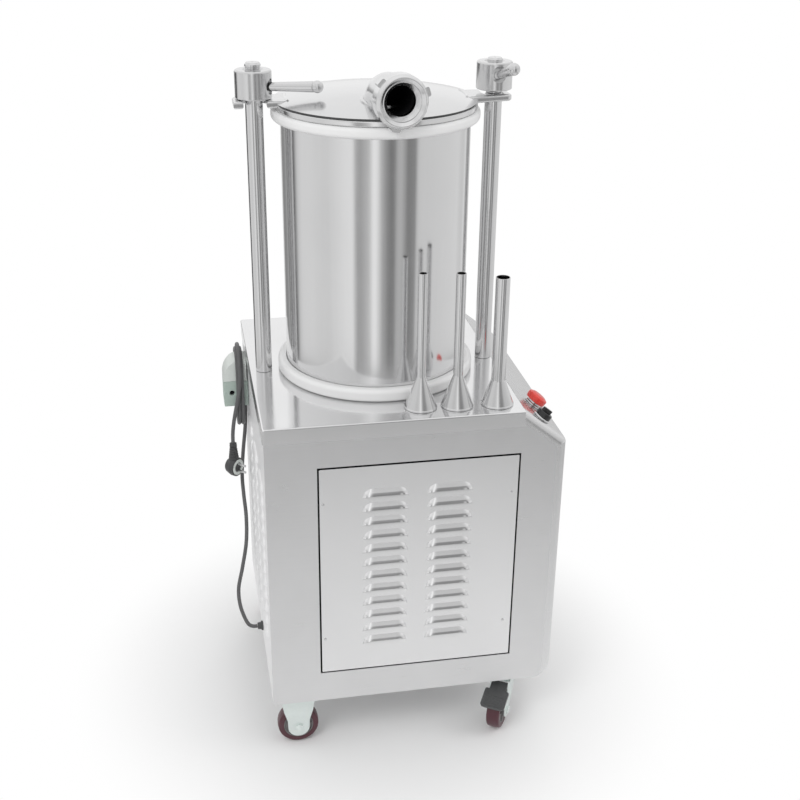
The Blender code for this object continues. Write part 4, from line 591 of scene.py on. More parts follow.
def make_camera():
    """The photograph's viewpoint."""
    data = bpy.data.cameras.new("camera")
    data.sensor_width = 36
    data.lens = 55.159
    data.shift_x = 0.0024
    data.shift_y = 0.00048
    camera = linked("camera", data)
    back = Vector((-0.17004, -0.89061, 0.42174)).normalized()
    up = back.cross(Vector((0.98311, -0.18254, 0.01088))).normalized()
    turn = Matrix((up.cross(back), up, back)).transposed()
    place = Vector((-0.32921, -1.94586, 1.48104)) + SHIFT
    camera.matrix_world = Matrix.Translation(place) @ turn.to_4x4()
    bpy.context.scene.camera = camera


def smooth_curve(route, count):
    """Evenly spread points on a smooth curve through the points of a route."""
    knots = [Vector(point) for point in route]
    knots = [2 * knots[0] - knots[1]] + knots + [2 * knots[-1] - knots[-2]]
    fine = []
    pieces_per_span = 24
    for index in range(1, len(knots) - 2):
        before, start, end, after = knots[index - 1:index + 3]
        for step in range(pieces_per_span):
            t = step / pieces_per_span
            point = 2 * start + (end - before) * t
            point += (2 * before - 5 * start + 4 * end - after) * t ** 2
            point += (3 * start - before - 3 * end + after) * t ** 3
            fine.append(point / 2)
    fine.append(knots[-2])
    lengths = [0.0]
    for here, following in zip(fine, fine[1:]):
        lengths.append(lengths[-1] + (following - here).length)
    spread = []
    index = 0
    for step in range(count):
        wanted = lengths[-1] * step / (count - 1)
        while index < len(fine) - 2 and lengths[index + 1] < wanted:
            index += 1
        share = (wanted - lengths[index]) / (lengths[index + 1] - lengths[index])
        spread.append(fine[index].lerp(fine[index + 1], share))
    return spread


def eased(share):
    """A smooth start and end for a share between 0 and 1."""
    share = min(1.0, max(0.0, share))
    return share * share * (3 - 2 * share)


def hank_points():
    """The hank's centre line: two turns side by side over the box and a third on top of them,
    which ends in the lead to the plug."""
    second_x = HANK_FIRST_X - 2 * HANK_PITCH
    turns = ((HANK_FIRST_X - HANK_PITCH, 0), (second_x, 0), (second_x + HANK_PITCH / 2, HANK_OUTWARD))
    points = [(HANK_FIRST_X, BOX_MIDDLE + HANK_RADIUS, HANK_LOW - 2 * CORD_RADIUS)]
    spaces = 14
    steps = 20
    x = HANK_FIRST_X
    for next_x, lift in turns:
        for step in range(spaces):
            share = step / spaces
            out = lift * eased(share / HANK_OUT_SHARE)
            across = eased((share - HANK_OUT_SHARE) / (1 - HANK_OUT_SHARE)) if lift else share
            points.append((x + (next_x - x) * across, BOX_MIDDLE + HANK_RADIUS + out,
                           HANK_LOW + HANK_STRAND * share))
        x = next_x
        reach = HANK_RADIUS + lift
        points += [(x, y, z) for y, z in arc(BOX_MIDDLE, HANK_TOP, reach, 0, pi, steps)]
        if not lift:
            points += [(x, BOX_MIDDLE - reach, HANK_TOP - HANK_STRAND * step / spaces)
                       for step in range(1, spaces)]
            points += [(x, y, z) for y, z in arc(BOX_MIDDLE, HANK_LOW, reach, pi, 2 * pi, steps)[:-1]]
    drop = HANK_TOP - LEAD_END - 2 * CORD_RADIUS
    for step in range(1, spaces + 1):
        share = step / spaces
        points.append((x + (LEAD_X - x) * eased(share), BOX_MIDDLE - reach, HANK_TOP - drop * share))
    return [Vector(point) for point in points + [(LEAD_X, BOX_MIDDLE - reach, LEAD_END)]]


def make_plug(lead_end):
    """The moulded round plug: ridged relief, a pale ring of painted highlight on its face's rim, and two
    pins.
    """
    top = lead_end.z - CLEAR
    centre = Vector((*lead_end[:2], top - PLUG_RELIEF - PLUG_RADIUS))
    turn = axis_turn((cos(PLUG_AZIMUTH), sin(PLUG_AZIMUTH), 0))
    radius = PLUG_RADIUS
    rim = radius - 0.0022
    body = lathe([(0, -PLUG_BACK), (radius - 0.005, -PLUG_BACK, 0.007), (radius - 0.001, -0.002, 0.006),
                  (radius, 0.001, 0.002), (radius, PLUG_FACE, 0.0018), (rim, PLUG_FACE, 0.0006),
                  (rim, PLUG_FACE - 0.0015), (0, PLUG_FACE - 0.0015)], 56, 5)
    ridges = [(0, centre.z + 0.004), (0.0086, centre.z + 0.004, 0.0004),
              (0.0094, top - PLUG_RELIEF, 0.0004)]
    count = 6
    step = PLUG_RELIEF / count
    for index in range(count):
        share = index / count
        reach = 0.0092 - 0.0036 * share
        low = top - PLUG_RELIEF * (1 - share)
        ridges += [(reach, low + 0.15 * step, 0.0004), (reach, low + 0.62 * step, 0.0004),
                   (reach - 0.0013, low + 0.70 * step, 0.0004), (reach - 0.0013, low + 0.95 * step, 0.0004)]
    ridges[-2:] = [(0.0066, top - 0.0032, 0.0004), (0.0066, top - 0.0008, 0.0004), (0.0050, top, 0.0004),
                   (0, top)]
    relief = moved(lathe(ridges, 36, 2), (*lead_end[:2], 0))
    shell = add("plug_shell", joined(moved(body, centre, turn), relief), "plug", "mains_plug")
    # A pale ring paints the highlight on the rim of the plug's face
    back, front, edge = PLUG_FACE - 0.0014, PLUG_FACE + 0.0002, radius - 0.0026
    face = lathe([(0.0092, back), (edge, back), (edge, front, 0.0008), (0.0092, front, 0.0008)], 56, 3)
    ring = add("plug_rim_highlight", moved(face, centre, turn), "pale_cover_and_highlight")
    low, high = PLUG_FACE - 0.0016, PLUG_FACE + 0.017
    pins = [moved(lathe([(0, low), (0.0024, low), (0.0024, high, 0.0012), (0, high)], 20),
                  centre + turn @ Vector((0, y, 0)), turn) for y in (-0.0065, 0.0065)]
    return [shell, ring, add("plug_pins", joined(*pins), "turned")]


def make_cord():
    """The mains cord from its gland to the plug, on the route of the CAD solids."""
    hank = hank_points()
    first = Vector(GLAND) - Vector((GLAND_LENGTH + CLEAR, 0, 0))
    last = hank[0] - Vector((0, 0, CLEAR))
    start = first - Vector((2 * CORD_RADIUS, 0, 0))
    end = last - Vector((0, 0, 2 * CORD_RADIUS))
    path = smooth_curve([first, start, *CORD_ROUTE, end, last], 150) + hank
    data = bpy.data.curves.new("mains_cord", "CURVE")
    data.dimensions = "3D"
    data.bevel_depth = CORD_RADIUS
    data.bevel_resolution = 5
    data.use_fill_caps = True
    spline = data.splines.new("POLY")
    spline.points.add(len(path) - 1)
    for target, point in zip(spline.points, path):
        target.co = (*(point + SHIFT), 1)
    spline.use_smooth = True
    data.materials.append(LOOKS["cord"])
    cord = linked("mains_cord", data)
    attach(cord, "machine")
    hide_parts("power_cord", "cord_hank")
    add("gland_nut", lathe([(0, 0), (0.0098, 0), (0.0098, 0.003, 0.0008), (0.0074, 0.0036, 0.0005),
                            (0.0070, 0.0098, 0.0015), (0, 0.0098)], 6), "dark", "cord_gland",
        place=GLAND, turn=axis_turn((-1, 0, 0)), bevel=0.0004)
    make_plug(hank[-1])


# ---------------------------------------------------------------- cabinet

def control_outline(inset):
    """The slope, the right side and the bottom corner, seen from -Y, moved inwards."""
    side_x = CABINET_RIGHT - inset
    slope_z = TABLE_TOP - inset / cos(SLOPE_ANGLE)
    fold_z = slope_z - (side_x - SLOPE_START_X) * tan(SLOPE_ANGLE)
    fold = max(FOLD_RADIUS - inset, LEAST_FILLET)
    corner = max(CORNER_RADIUS - inset, LEAST_FILLET)
    turn = pi / 2 - SLOPE_ANGLE
    low_z = CABINET_BOTTOM + 0.02 * inset
    rise = CABINET_BOTTOM + CORNER_RADIUS - low_z
    return ([(SLOPE_START_X, slope_z)]
            + arc(side_x - fold, fold_z - fold * tan(turn / 2), fold, turn, 0, BEND_STEPS)
            + arc(side_x - corner, low_z + rise, corner, 0, -pi / 2, BEND_STEPS, rise / corner)
            + [(CABINET_RIGHT - CORNER_RADIUS - EDGE_RADIUS, low_z)])


def make_control_panel():
    """The folded right side: slope, side and rolled edges in one sheet."""
    grids = []
    for thickness in (0, SHEET):
        across = EDGE_RADIUS - thickness
        rows = [(PANEL_INSET, SKIN + thickness)]
        for step in range(BEND_STEPS + 1):
            angle = pi / 2 * step / BEND_STEPS
            rows.append((thickness + across * (1 - sin(angle)),
                         SKIN + thickness + (across - SKIN) * (1 - cos(angle))))
        rows = ([(inset, CABINET_NEAR + depth) for inset, depth in rows]
                + [(inset, CABINET_FAR - depth) for inset, depth in reversed(rows)])
        grids.append([[(x, y, z) for x, z in control_outline(inset)] for inset, y in rows])
    add("control_skin", sheet(*grids), "side", "control_side_panel", sharp=radians(40))


def side_panel(y):
    """A flat near or far panel, which meets the rolled edges of the control side flush."""
    outline = [(PANEL_LEFT, CABINET_BOTTOM)] + control_outline(PANEL_INSET)[::-1]
    return prism(outline + [(SLOPE_START_X - SKIN, PANEL_TOP), (PANEL_LEFT, PANEL_TOP)], y, y + SHEET, "XZ")


def door_outline(out, fillet=None):
    """The service door's outline, moved outwards."""
    return rectangle(DOOR_LEFT - out, DOOR_BOTTOM - out, DOOR_RIGHT + out, DOOR_TOP + out, fillet)


def louvre(length, height, rise):
    """A pressed hood about its own middle: it swells out of the sheet (towards -Y) from its
    upper edge, is round at both ends and is cut open along its lower edge."""
    across = 28
    down = 10
    front = []
    for row in range(down + 1):
        left = 1 - row / down
        swell = rise * sin(pi / 2 * (1 - left ** 1.7))
        front.append([])
        for column in range(across + 1):
            x = length * (column / across - 0.5)
            end = min(1.0, max(0.0, (abs(x) - length / 2 + height) / height))
            front[-1].append((x, -swell * (1 - end ** 2.4) ** 0.55,
                              height * (left * sqrt(1 - end * end) - 0.5)))
    return sheet(front, [[(x, 0.0004, z) for x, _, z in row] for row in front])


def make_panels():
    """Near panel with its door opening, far panel and cord side with its own louvres."""
    near = add("near_skin", side_panel(PANEL_NEAR), "panel", "near_side_panel")
    back = PANEL_NEAR + SHEET
    shape_with(near, prism(door_outline(DOOR_GAP), PANEL_NEAR - SHEET, back + SHEET, "XZ"))
    front, rear = back + 0.00005, back + REBATE_THICKNESS - 0.0003
    outer, inner = REBATE_WIDTH + DOOR_GAP, -REBATE_WIDTH
    seat = [[(x, y, z) for x, z in door_outline(out)]
            for out, y in ((outer, front), (inner, front), (inner, rear), (outer, rear))]
    # The rebate behind the door gap is near-black: painted shade in the gap
    add("door_gap_shade", lofted(seat, "joined"), "hole")
    add("far_skin", side_panel(PANEL_FAR - SHEET), "panel", "far_side_panel")
    skin = block((PANEL_LEFT, PANEL_NEAR + SKIN, CABINET_BOTTOM),
                 (PANEL_LEFT + SHEET, PANEL_FAR - SKIN, PANEL_TOP))
    hoods = [moved(louvre(*CORD_SIDE_LOUVRE),
                   (PANEL_LEFT, column + 0.0355, CORD_SIDE_LOUVRE_LOW + CORD_SIDE_LOUVRE_PITCH * row),
                   about("Z", -pi / 2)) for column in CORD_SIDE_LOUVRE_COLUMNS for row in range(LOUVRE_ROWS)]
    add("cord_side_skin", joined(skin, *hoods), "cord_side", "cord_side_panel")


def make_door():
    """The louvred service door and its four domed screws."""
    face_y = PANEL_NEAR - 2 * CLEAR
    add("door_skin", prism(door_outline(0, 0.0015), face_y, face_y + SHEET, "XZ"), "door", "service_door")
    hoods = [moved(louvre(*DOOR_LOUVRE),
                   (column + DOOR_LOUVRE[0] / 2, face_y, DOOR_LOUVRE_LOW + row * DOOR_LOUVRE_PITCH))
             for column in DOOR_LOUVRE_COLUMNS for row in range(LOUVRE_ROWS)]
    add("door_louvres", joined(*hoods), "pressed")
    radius, height = 0.0027, 0.0011
    profile = [(0, -0.0004), (radius, -0.0004), (radius, 0.25 * height)]
    profile += arc(0, 0.25 * height, radius, pi / 10, pi * 0.4, 3, 0.75 * height / radius)
    heads = [moved(turned(profile + [(0, height * 0.7)], 24), (x, face_y, TABLE_TOP + z),
                   axis_turn((0, -1, 0))) for x, z in DOOR_SCREWS]
    add("door_screws", joined(*heads), "turned")


def make_tabletop():
    """The polished top sheet with its folded lips on three sides."""
    def ring(inset, z):
        left, right = CABINET_LEFT + inset, SLOPE_START_X - CLEAR
        near, far = CABINET_NEAR + inset, CABINET_FAR - inset
        corner = max(0.004 - inset, 0.0006)
        outline = [(left, near, corner), (right, near, 0.0008), (right, far, 0.0008), (left, far, corner)]
        return [(x, y, z) for x, y in filleted(outline, steps=6)]

    steps = 5
    low = TABLE_TOP - LIP_DEPTH
    loops = [ring(SHEET, TABLE_TOP - PLATE), ring(SHEET, low), ring(0, low)]
    for step in range(steps + 1):
        angle = pi / 2 * step / steps
        loops.append(ring(TABLE_BEND * (1 - cos(angle)), TABLE_TOP - TABLE_BEND * (1 - sin(angle))))
    loops.append(ring(TABLE_BEND + 0.0006, TABLE_TOP))
    add("table_skin", lofted(loops), "table", "tabletop", sharp=BEND_SHARP)


# ---------------------------------------------------------------- barrel, lid and outlet

def make_barrel():
    """The filling barrel and the white rings at its foot and on its rim."""
    foot = TABLE_TOP + CLEAR
    outer = BARREL_BORE + BARREL_WALL
    rim = TABLE_TOP + BARREL_HEIGHT
    add("barrel_tube", lathe([(BARREL_BORE, foot), (outer, foot), (outer, rim, 0.0008),
                              (BARREL_BORE, rim, 0.0008)], ROUND), "barrel", "barrel")
    inner = outer + CLEAR
    reach = inner + RING_REACH
    top = TABLE_TOP + BASE_RING_HEIGHT
    add("base_ring", lathe([(inner, foot), (reach, foot, 0.0055), (reach, top, 0.0075), (inner, top, 0.002)],
                           ROUND, 6), "white", "barrel_base_ring")
    cap = rim + CLEAR
    low, high = rim - GASKET_SKIRT, cap + GASKET_CAP
    add("rim_gasket", lathe([(inner, low, 0.0015), (reach, low, 0.0070), (reach, high, 0.0065),
                             (BARREL_BORE, high, 0.001), (BARREL_BORE, cap, 0.0005), (inner, cap)],
                            ROUND, 6), "white", "lid_gasket")


def dome_height(radius):
    """The dome's outside height over the floor at a distance from the axis."""
    return DOME_FOOT + LID_DOME_RISE - DOME_SPHERE + sqrt(DOME_SPHERE ** 2 - min(radius, LID_RADIUS) ** 2)


def make_lid():
    """The domed lid with its band and groove, a dark ring of painted shade in the groove, and the two hooked
    lugs.
    """
    band = filleted([(LID_RIM, LID_BOTTOM), (LID_RADIUS, LID_BOTTOM, 0.0022),
                     (LID_RADIUS, LID_BAND_TOP, 0.0022), (LID_GROOVE, LID_BAND_TOP, 0.0003),
                     (LID_GROOVE, DOME_FOOT)], closed=False)
    outside = [LID_RADIUS * sin(pi / 2 * (1 - step / 24)) for step in range(25)]
    under = [LID_RIM * step / 12 for step in range(13)]
    profile = (band + [(radius, dome_height(radius)) for radius in outside]
               + [(radius, dome_height(radius) - LID_SHEET) for radius in under])
    lid = add("lid_dome", turned(profile, ROUND), "lid", "lid", "lid_body")
    shape_with(lid, moved(rod(OUTLET_BORE, LID_BOTTOM - 0.01, OUTLET_Z, 48), (ELBOW_X, ELBOW_Y, 0)))
    # A dark ring of painted shade sits in the groove
    inner, outer = LID_GROOVE - 0.0006, LID_GROOVE + 0.0003
    add("lid_groove_shade", turned([(inner, LID_BAND_TOP), (outer, LID_BAND_TOP + 0.0001),
                              (outer, DOME_FOOT - 0.0001), (inner, DOME_FOOT)], ROUND), "dark",
        body="lid_body")
    for name, side in SIDES.items():
        loops = []
        for level in range(12):
            angle = pi / 2 * min(level, 11 - level) / 5
            rise = LUG_ROUND * (1 - cos(angle))
            z = LUG_BOTTOM + rise if level < 6 else LUG_TOP - rise
            loops.append([(x, y, z) for x, y in lug_outline(LUG_TIPS[name], LUG_ROUND * (1 - sin(angle)))])
        add(f"lug_{name}", lofted(loops), "drawn", f"lid_lug_{name}", "lid_body",
            turn=about("Z", 0 if side < 0 else pi))
        add(f"lug_weld_{name}", swept(weld_path(side), 0.0022, 10), "cast", body="lid_body")


def lug_outline(tip, inset):
    """A lug drawn on the left: a tapered bar with a slot for the post, open towards -Y."""
    slot = LUG_SLOT + inset
    near = -LUG_NEAR + inset
    fall = (LUG_ROOT_Y - LUG_TIP_Y) / (LUG_TIPS["right"] - LUG_ROOT_X)
    tip_y = LUG_ROOT_Y - fall * (tip - LUG_ROOT_X) - inset
    return ([(-LUG_ROOT_X, near), (-POST_X + slot, near)] + arc(-POST_X, 0, slot, 0, pi, 28)
            + [(-POST_X - slot, near)]
            + filleted([(-tip + inset, near), (-tip + inset, tip_y, 0.009 - inset),
                        (-LUG_ROOT_X, LUG_ROOT_Y - inset)], closed=False, steps=8))


def weld_path(side):
    """Where a lug's top meets the lid's dome."""
    places = []
    near = -LUG_NEAR + LUG_ROUND
    far = LUG_ROOT_Y - LUG_ROUND - 0.003
    for step in range(25):
        y = near + (far - near) * step / 24
        reach = 0.100
        while dome_height(hypot(reach, y)) > LUG_TOP and reach < LID_RADIUS:
            reach += 0.0005
        places.append((side * reach, -side * y, LUG_TOP - 0.0004))
    return places


def outlet_point(along, height):
    """A place along the outlet's direction from the elbow's upright axis."""
    return Vector((ELBOW_X, ELBOW_Y, height)) + along * OUTLET_WAY


def elbow_bar(radius, start_below, end_beyond):
    """A bar along the elbow's centre line: up, through the bend and out level."""
    path = [outlet_point(0, OUTLET_Z - ELBOW_BEND - start_below)]
    path += [outlet_point(ELBOW_BEND + x, z)
             for x, z in arc(0, OUTLET_Z - ELBOW_BEND, ELBOW_BEND, pi, pi / 2, 20)]
    return swept(path + [outlet_point(ELBOW_END + end_beyond, OUTLET_Z)], radius, 56)


def make_outlet():
    """The elbow with its weld and a near-black sleeve of painted shade in its bore, and the lugged ring nut
    on its end.
    """
    # The second bar is a near-black sleeve of painted shade inside the bore
    for name, look, node_name, below, beyond, radius, bore in (
            ("elbow", "cast", "outlet_elbow", 0.005, 0, OUTLET_RADIUS, OUTLET_BORE),
            ("elbow_bore_shade", "hole", None, 0.003, -0.001, OUTLET_BORE - 0.0002, OUTLET_BORE - 0.0010)):
        piece = add(name, elbow_bar(radius, below, beyond), look, node_name, "lid_body", sharp=BEND_SHARP)
        shape_with(piece, elbow_bar(bore, 0.01, 0.005))
    ring = [(x, y, dome_height(hypot(x, y)) + 0.0006)
            for x, y in arc(ELBOW_X, ELBOW_Y, OUTLET_RADIUS + 0.0012, 0, 2 * pi, 64)]
    add("elbow_weld", swept(ring, 0.0030, 12), "cast", body="lid_body")
    shoulder = ELBOW_END + CLEAR - RING_NUT_BACK
    front, outer, mouth = RING_NUT_LENGTH, RING_NUT_RADIUS, RING_NUT_MOUTH
    thread = OUTLET_RADIUS + CLEAR
    nut = lathe([(thread, 0), (outer, 0, 0.0015), (outer, front - 0.0060, 0.004),
                 (outer - 0.0038, front, 0.003), (mouth, front, 0.0012),
                 (mouth - 0.0048, front - 0.0045, 0.001),
                 (mouth - 0.0062, front - 0.0048, 0.001), (RING_NUT_THROAT, front - RING_NUT_CONE, 0.001),
                 (RING_NUT_THROAT, shoulder), (thread, shoulder)], 96, 5)
    ear = filleted([(outer - 0.004, -0.007), (RING_LUG_RADIUS, -0.007, 0.0025),
                    (RING_LUG_RADIUS, 0.007, 0.0025), (outer - 0.004, 0.007)])
    ears = [moved(prism(ear, 0.006, 0.020), turn=about("Z", RING_LUG_TURN + index * 2 * pi / 3))
            for index in range(3)]
    add("ring_nut", joined(nut, *ears), "cast", "outlet_ring_nut", "ring_nut_body",
        outlet_point(RING_NUT_BACK, OUTLET_Z), axis_turn(OUTLET_WAY))


# ---------------------------------------------------------------- posts and nuts

def make_posts():
    """The two posts with their threaded tops, and a nut under the tabletop."""
    foot = TABLE_TOP + CLEAR
    start = LUG_TOP - 0.0012
    tip = TABLE_TOP + POST_HEIGHT
    plate_bottom = TABLE_TOP - PLATE - 0.012 - 2 * CLEAR
    nut_bottom = plate_bottom - 0.018
    profile = [(0, nut_bottom), (0.018, nut_bottom), (0.018, plate_bottom), (0.012, plate_bottom)]
    profile += filleted([(0.012, foot), (POST_RADIUS, foot, 0.0006), (POST_RADIUS, start, 0.0006),
                         (THREAD_RADIUS, start + 0.0008)], closed=False)
    pitch = 0.003
    root = THREAD_RADIUS - 0.0011
    z = start + 0.003
    while z + pitch < tip - 0.004:
        profile += [(THREAD_RADIUS, z), (THREAD_RADIUS, z + 0.30 * pitch), (root, z + 0.55 * pitch),
                    (root, z + 0.75 * pitch)]
        z += pitch
    profile += [(THREAD_RADIUS, z), (THREAD_RADIUS, tip - 0.003), (THREAD_RADIUS - 0.0025, tip),
                (0.002, tip), (0.0012, tip - 0.0012), (0, tip - 0.0012)]
    for name, side in SIDES.items():
        add(f"post_bar_{name}", turned(profile, 56), "drawn", f"post_{name}", place=(side * POST_X, 0, 0))


def make_nuts():
    """The tall clamp nuts, each with its bar handle and ball."""
    bore = THREAD_RADIUS + CLEAR
    outer = NUT_RADIUS
    neck = asin(0.0083 / BALL_RADIUS)
    ball_foot = HANDLE_REACH - BALL_RADIUS * cos(neck)
    bar = filleted([(0, SEAT_FLOOR + CLEAR), (HANDLE_RADIUS, SEAT_FLOOR + CLEAR, 0.0005),
                    (HANDLE_RADIUS, SPOT_FLOOR + 0.001, 0.001), (0.0087, ball_foot - 0.0015, 0.0006),
                    (0.0079, ball_foot - 0.0006)], closed=False)
    bar += arc(0, HANDLE_REACH, BALL_RADIUS, -pi / 2 + neck, pi / 2, 16)[:-1]
    bar.append((0, HANDLE_REACH + BALL_RADIUS))
    for name, (x, lift, azimuth, tilt) in HANDLES.items():
        base = Vector((x, 0, LUG_TOP + lift))
        mesh = lathe([(bore, 0), (outer, 0, 0.002), (outer, NUT_HEIGHT, 0.003),
                      (bore + 0.0036, NUT_HEIGHT, 0.0005), (bore, NUT_HEIGHT - 0.0040)], 96, 5)
        nut = add(f"nut_{name}", mesh, "turned", f"clamp_nut_{name}", f"{name}_clamp", base)
        turn = axis_turn((cos(tilt) * cos(azimuth), cos(tilt) * sin(azimuth), sin(tilt)))
        middle = base + Vector((0, 0, HANDLE_HEIGHT))
        shape_with(nut, rod(HANDLE_RADIUS + CLEAR, SEAT_FLOOR, 0.04, 32), middle, turn)
        shape_with(nut, turned([(0, SPOT_FLOOR), (SPOT_RADIUS, SPOT_FLOOR), (SPOT_RADIUS + 0.002, 0.04),
                                (0, 0.04)], 48), middle, turn)
        add(f"handle_{name}", turned(bar, 40), "drawn", f"nut_handle_{name}", f"{name}_clamp", middle, turn)


# ---------------------------------------------------------------- nozzles, controls and box

def make_nozzles():
    """Three filling nozzles that stand on the tabletop."""
    wall, base = NOZZLE_WALL, NOZZLE_BASE
    for name, (x, y, radius, height, cone) in NOZZLES.items():
        tube = lathe([(base - 2 * wall, 0), (base, 0, 0.0006), (base, 0.0022, 0.0008),
                      (base - 0.0012, 0.0034, 0.0005), (radius, cone, 0.006), (radius, height, 0.0003),
                      (radius - wall, height, 0.0003), (radius - wall, cone, 0.006)], 56, 5)
        add(f"filling_tube_{name}", tube, "drawn", f"nozzle_{name}", f"{name}_nozzle_body",
            (x, y, TABLE_TOP + CLEAR))


def make_controls():
    """Emergency stop and turning knob on the slope."""
    normal = Vector((sin(SLOPE_ANGLE), 0, cos(SLOPE_ANGLE)))
    turn = axis_turn(normal)
    seat_z = TABLE_TOP - (CONTROL_X - SLOPE_START_X) * tan(SLOPE_ANGLE)
    stop, knob = (Vector((CONTROL_X, y, seat_z)) + CLEAR * normal for y in (ESTOP_Y, KNOB_Y))
    collar = lathe([(0.0083, 0), (0.0145, 0, 0.0005), (0.0145, 0.0025, 0.0006), (0.0128, 0.0036, 0.0006),
                    (0.0128, 0.0066, 0.0008), (0.0083, 0.0066)], 48)
    add("stop_collar", collar, "turned", "estop_collar", "machine", stop, turn)
    low, skirt, head, rim = 0.0046, 0.0068, 0.0111, 0.0178
    button = lathe([(0, low), (0.0078, low), (0.0078, head, 0.0003), (0.0154, head, 0.0006),
                    (0.0154, skirt, 0.0003), (0.0170, skirt, 0.0006), (rim, head - 0.0005, 0.001),
                    (rim, head + 0.0060, 0.0026), (0.0115, head + 0.0089, 0.004), (0, head + 0.0091)], 56, 5)
    add("stop_head", button, "red", "estop_button", "estop_body", stop, turn)
    bezel = lathe([(0, 0), (0.0150, 0, 0.0006), (0.0150, 0.0018, 0.0008), (0.0135, 0.003, 0.0006),
                   (0, 0.003)], 48)
    add("knob_bezel", bezel, "turned", "knob_collar", "machine", knob, turn)
    low = 0.0033
    dial = lathe([(0, low), (0.0138, low, 0.0006), (0.0132, low + 0.009, 0.0018), (0, low + 0.009)], 48)
    grip = prism(rectangle(-0.0033, -0.0090, 0.0033, 0.0090, 0.003, 5), low + 0.007, low + 0.0152)
    add("knob_dial", joined(dial, grip), "black", "selector_knob", "knob_body", knob, turn, bevel=0.0006)
    mark = block((-0.0004, -0.0087, low + 0.0148), (0.0004, -0.002, low + 0.0155))
    add("knob_mark", mark, "white", None, "knob_body", knob, turn)


def make_junction_box():
    """The pale box on the cord side: a plain body and a cover with an arched shoulder."""
    case = block((BOX_LEFT, BOX_NEAR, BOX_BOTTOM), (PANEL_LEFT - CLEAR, BOX_FAR, BOX_SPLIT - CLEAR))
    body = add("box_body", case, "pale", "junction_box", bevel=0.0015, segments=3)
    inwards = axis_turn((0, 1, 0))
    shape_with(body, rod(0.0045, -0.002, 0.006, 28), BOX_HOLE, inwards)
    # A near-black disc of painted shade sits in the hole
    add("box_hole", rod(0.0042, 0.004, 0.0058, 28), "hole", None, "machine", BOX_HOLE, inwards)
    top = BOX_TOP - BOX_FILLET
    outline = ([(BOX_NEAR, BOX_SPLIT)] + arc(BOX_NEAR + BOX_FILLET, top, BOX_FILLET, pi, pi / 2, 10)
               + arc(BOX_FAR - BOX_FILLET, top, BOX_FILLET, pi / 2, 0, 10) + [(BOX_FAR, BOX_SPLIT)])
    lip_x = CABINET_LEFT - CLEAR
    cover = add("box_cover", prism(outline, BOX_LEFT, lip_x, "YZ"), "pale_cover_and_highlight", "junction_box_cover",
                bevel=0.001)
    arch = arc(BOX_LEFT + BOX_ARCH_WIDTH, BOX_TOP - BOX_ARCH_HEIGHT, BOX_ARCH_WIDTH, pi, pi / 2, 14,
               BOX_ARCH_HEIGHT / BOX_ARCH_WIDTH)
    low, reach = BOX_SPLIT - 0.005, lip_x + 0.005
    shape_with(cover, prism([(BOX_LEFT, low)] + arch + [(reach, BOX_TOP), (reach, low)],
                            BOX_NEAR - 0.005, BOX_FAR + 0.005, "XZ"), how="INTERSECT")


# ---------------------------------------------------------------- casters

def add_wheel(name, body, place, turn):
    """A caster wheel: rounded tread, grey spoked core and bearing."""
    half, rim = WHEEL_HALF_WIDTH, 0.026
    side = [(rim, -half, 0.0008), (WHEEL_RADIUS - 0.001, -half, 0.004)]
    other = [(radius, -z, fillet) for radius, z, fillet in reversed(side)]
    tread = lathe(side + [(WHEEL_RADIUS, 0, 0.02)] + other, 72, 5)
    add(f"{name}_tread", tread, "maroon", name, body, place, turn)
    side = [(0.0053, -0.0145), (0.012, -0.0145, 0.001), (0.012, -half + 0.003, 0.001),
            (0.0235, -half + 0.003, 0.001), (0.0245, -half + 0.0005, 0.0008), (rim, -half + 0.0005)]
    hub = lathe(side + [(radius, -z, *fillet) for radius, z, *fillet in reversed(side)], 60, 3)
    spokes = [moved(block((0.011, -0.0014, 0), (0.0245, 0.0014, half - 0.0012)),
                    turn=about("Z", index * 2 * pi / 5) @ about("X", flip))
              for index in range(5) for flip in (pi, 0)]
    add(f"{name}_core", joined(hub, *spokes), "core", None, body, place, turn)


def bolt():
    """An axle bolt about Y: hexagon head at one end and a nut with its stub at the other."""
    reach = CHEEK_OUTER
    shaft = turned([(0, -reach - 0.0055), (0.0035, -reach - 0.0055), (0.005, -reach - 0.004),
                    (0.005, reach), (0, reach)], 28)
    whole = joined(hexagon(0.0075, reach, reach + 0.0038), hexagon(0.0075, -reach, -reach - 0.0042),
                   rod(0.0085, -reach - 0.0006, -reach, 28), shaft)
    return moved(whole, turn=about("X", -pi / 2))


def bolt_heads(x_reach, y_reach):
    """The four bolt heads under a caster's plate."""
    return [moved(hexagon(0.005, CASTER_PLATE_LOW, CASTER_PLATE_LOW - 0.0035, 0.0008), (x, y, 0))
            for x in (-x_reach, x_reach) for y in (-y_reach, y_reach)]


def cheeks(outline):
    """A bracket's two side plates."""
    return [prism(outline, *sorted((side * CHEEK_INNER, side * CHEEK_OUTER)), "XZ") for side in (-1, 1)]


def make_fixed_casters():
    """The two fixed casters on the cord side."""
    for name, y in FIXED_YS.items():
        at = (FIXED_X, y, 0)
        plate = prism(rectangle(-0.036, -0.030, 0.036, 0.030, 0.006, 6), CASTER_PLATE_LOW, CASTER_TOP)
        side = filleted([(-0.031, CASTER_PLATE_LOW + 0.001), (-0.0255, 0.070, 0.02), (-0.0195, 0.050)],
                        closed=False, steps=6)
        outline = (side + arc(0, WHEEL_RADIUS - 0.001, 0.019, pi, 2 * pi, 22)
                   + [(-x, z) for x, z in reversed(side)])
        add(f"fixed_frame_{name}", joined(plate, *cheeks(outline)), "zinc", f"fixed_bracket_{name}",
            place=at, bevel=0.0007)
        fasteners = [moved(bolt(), (0, 0, WHEEL_RADIUS))] + bolt_heads(0.0295, 0.0235)
        add(f"fixed_bolts_{name}", joined(*fasteners), "zinc", place=at)
        add_wheel(f"fixed_wheel_{name}", f"fixed_{name}_wheel_body", (FIXED_X, y, WHEEL_RADIUS),
                  about("X", -pi / 2))


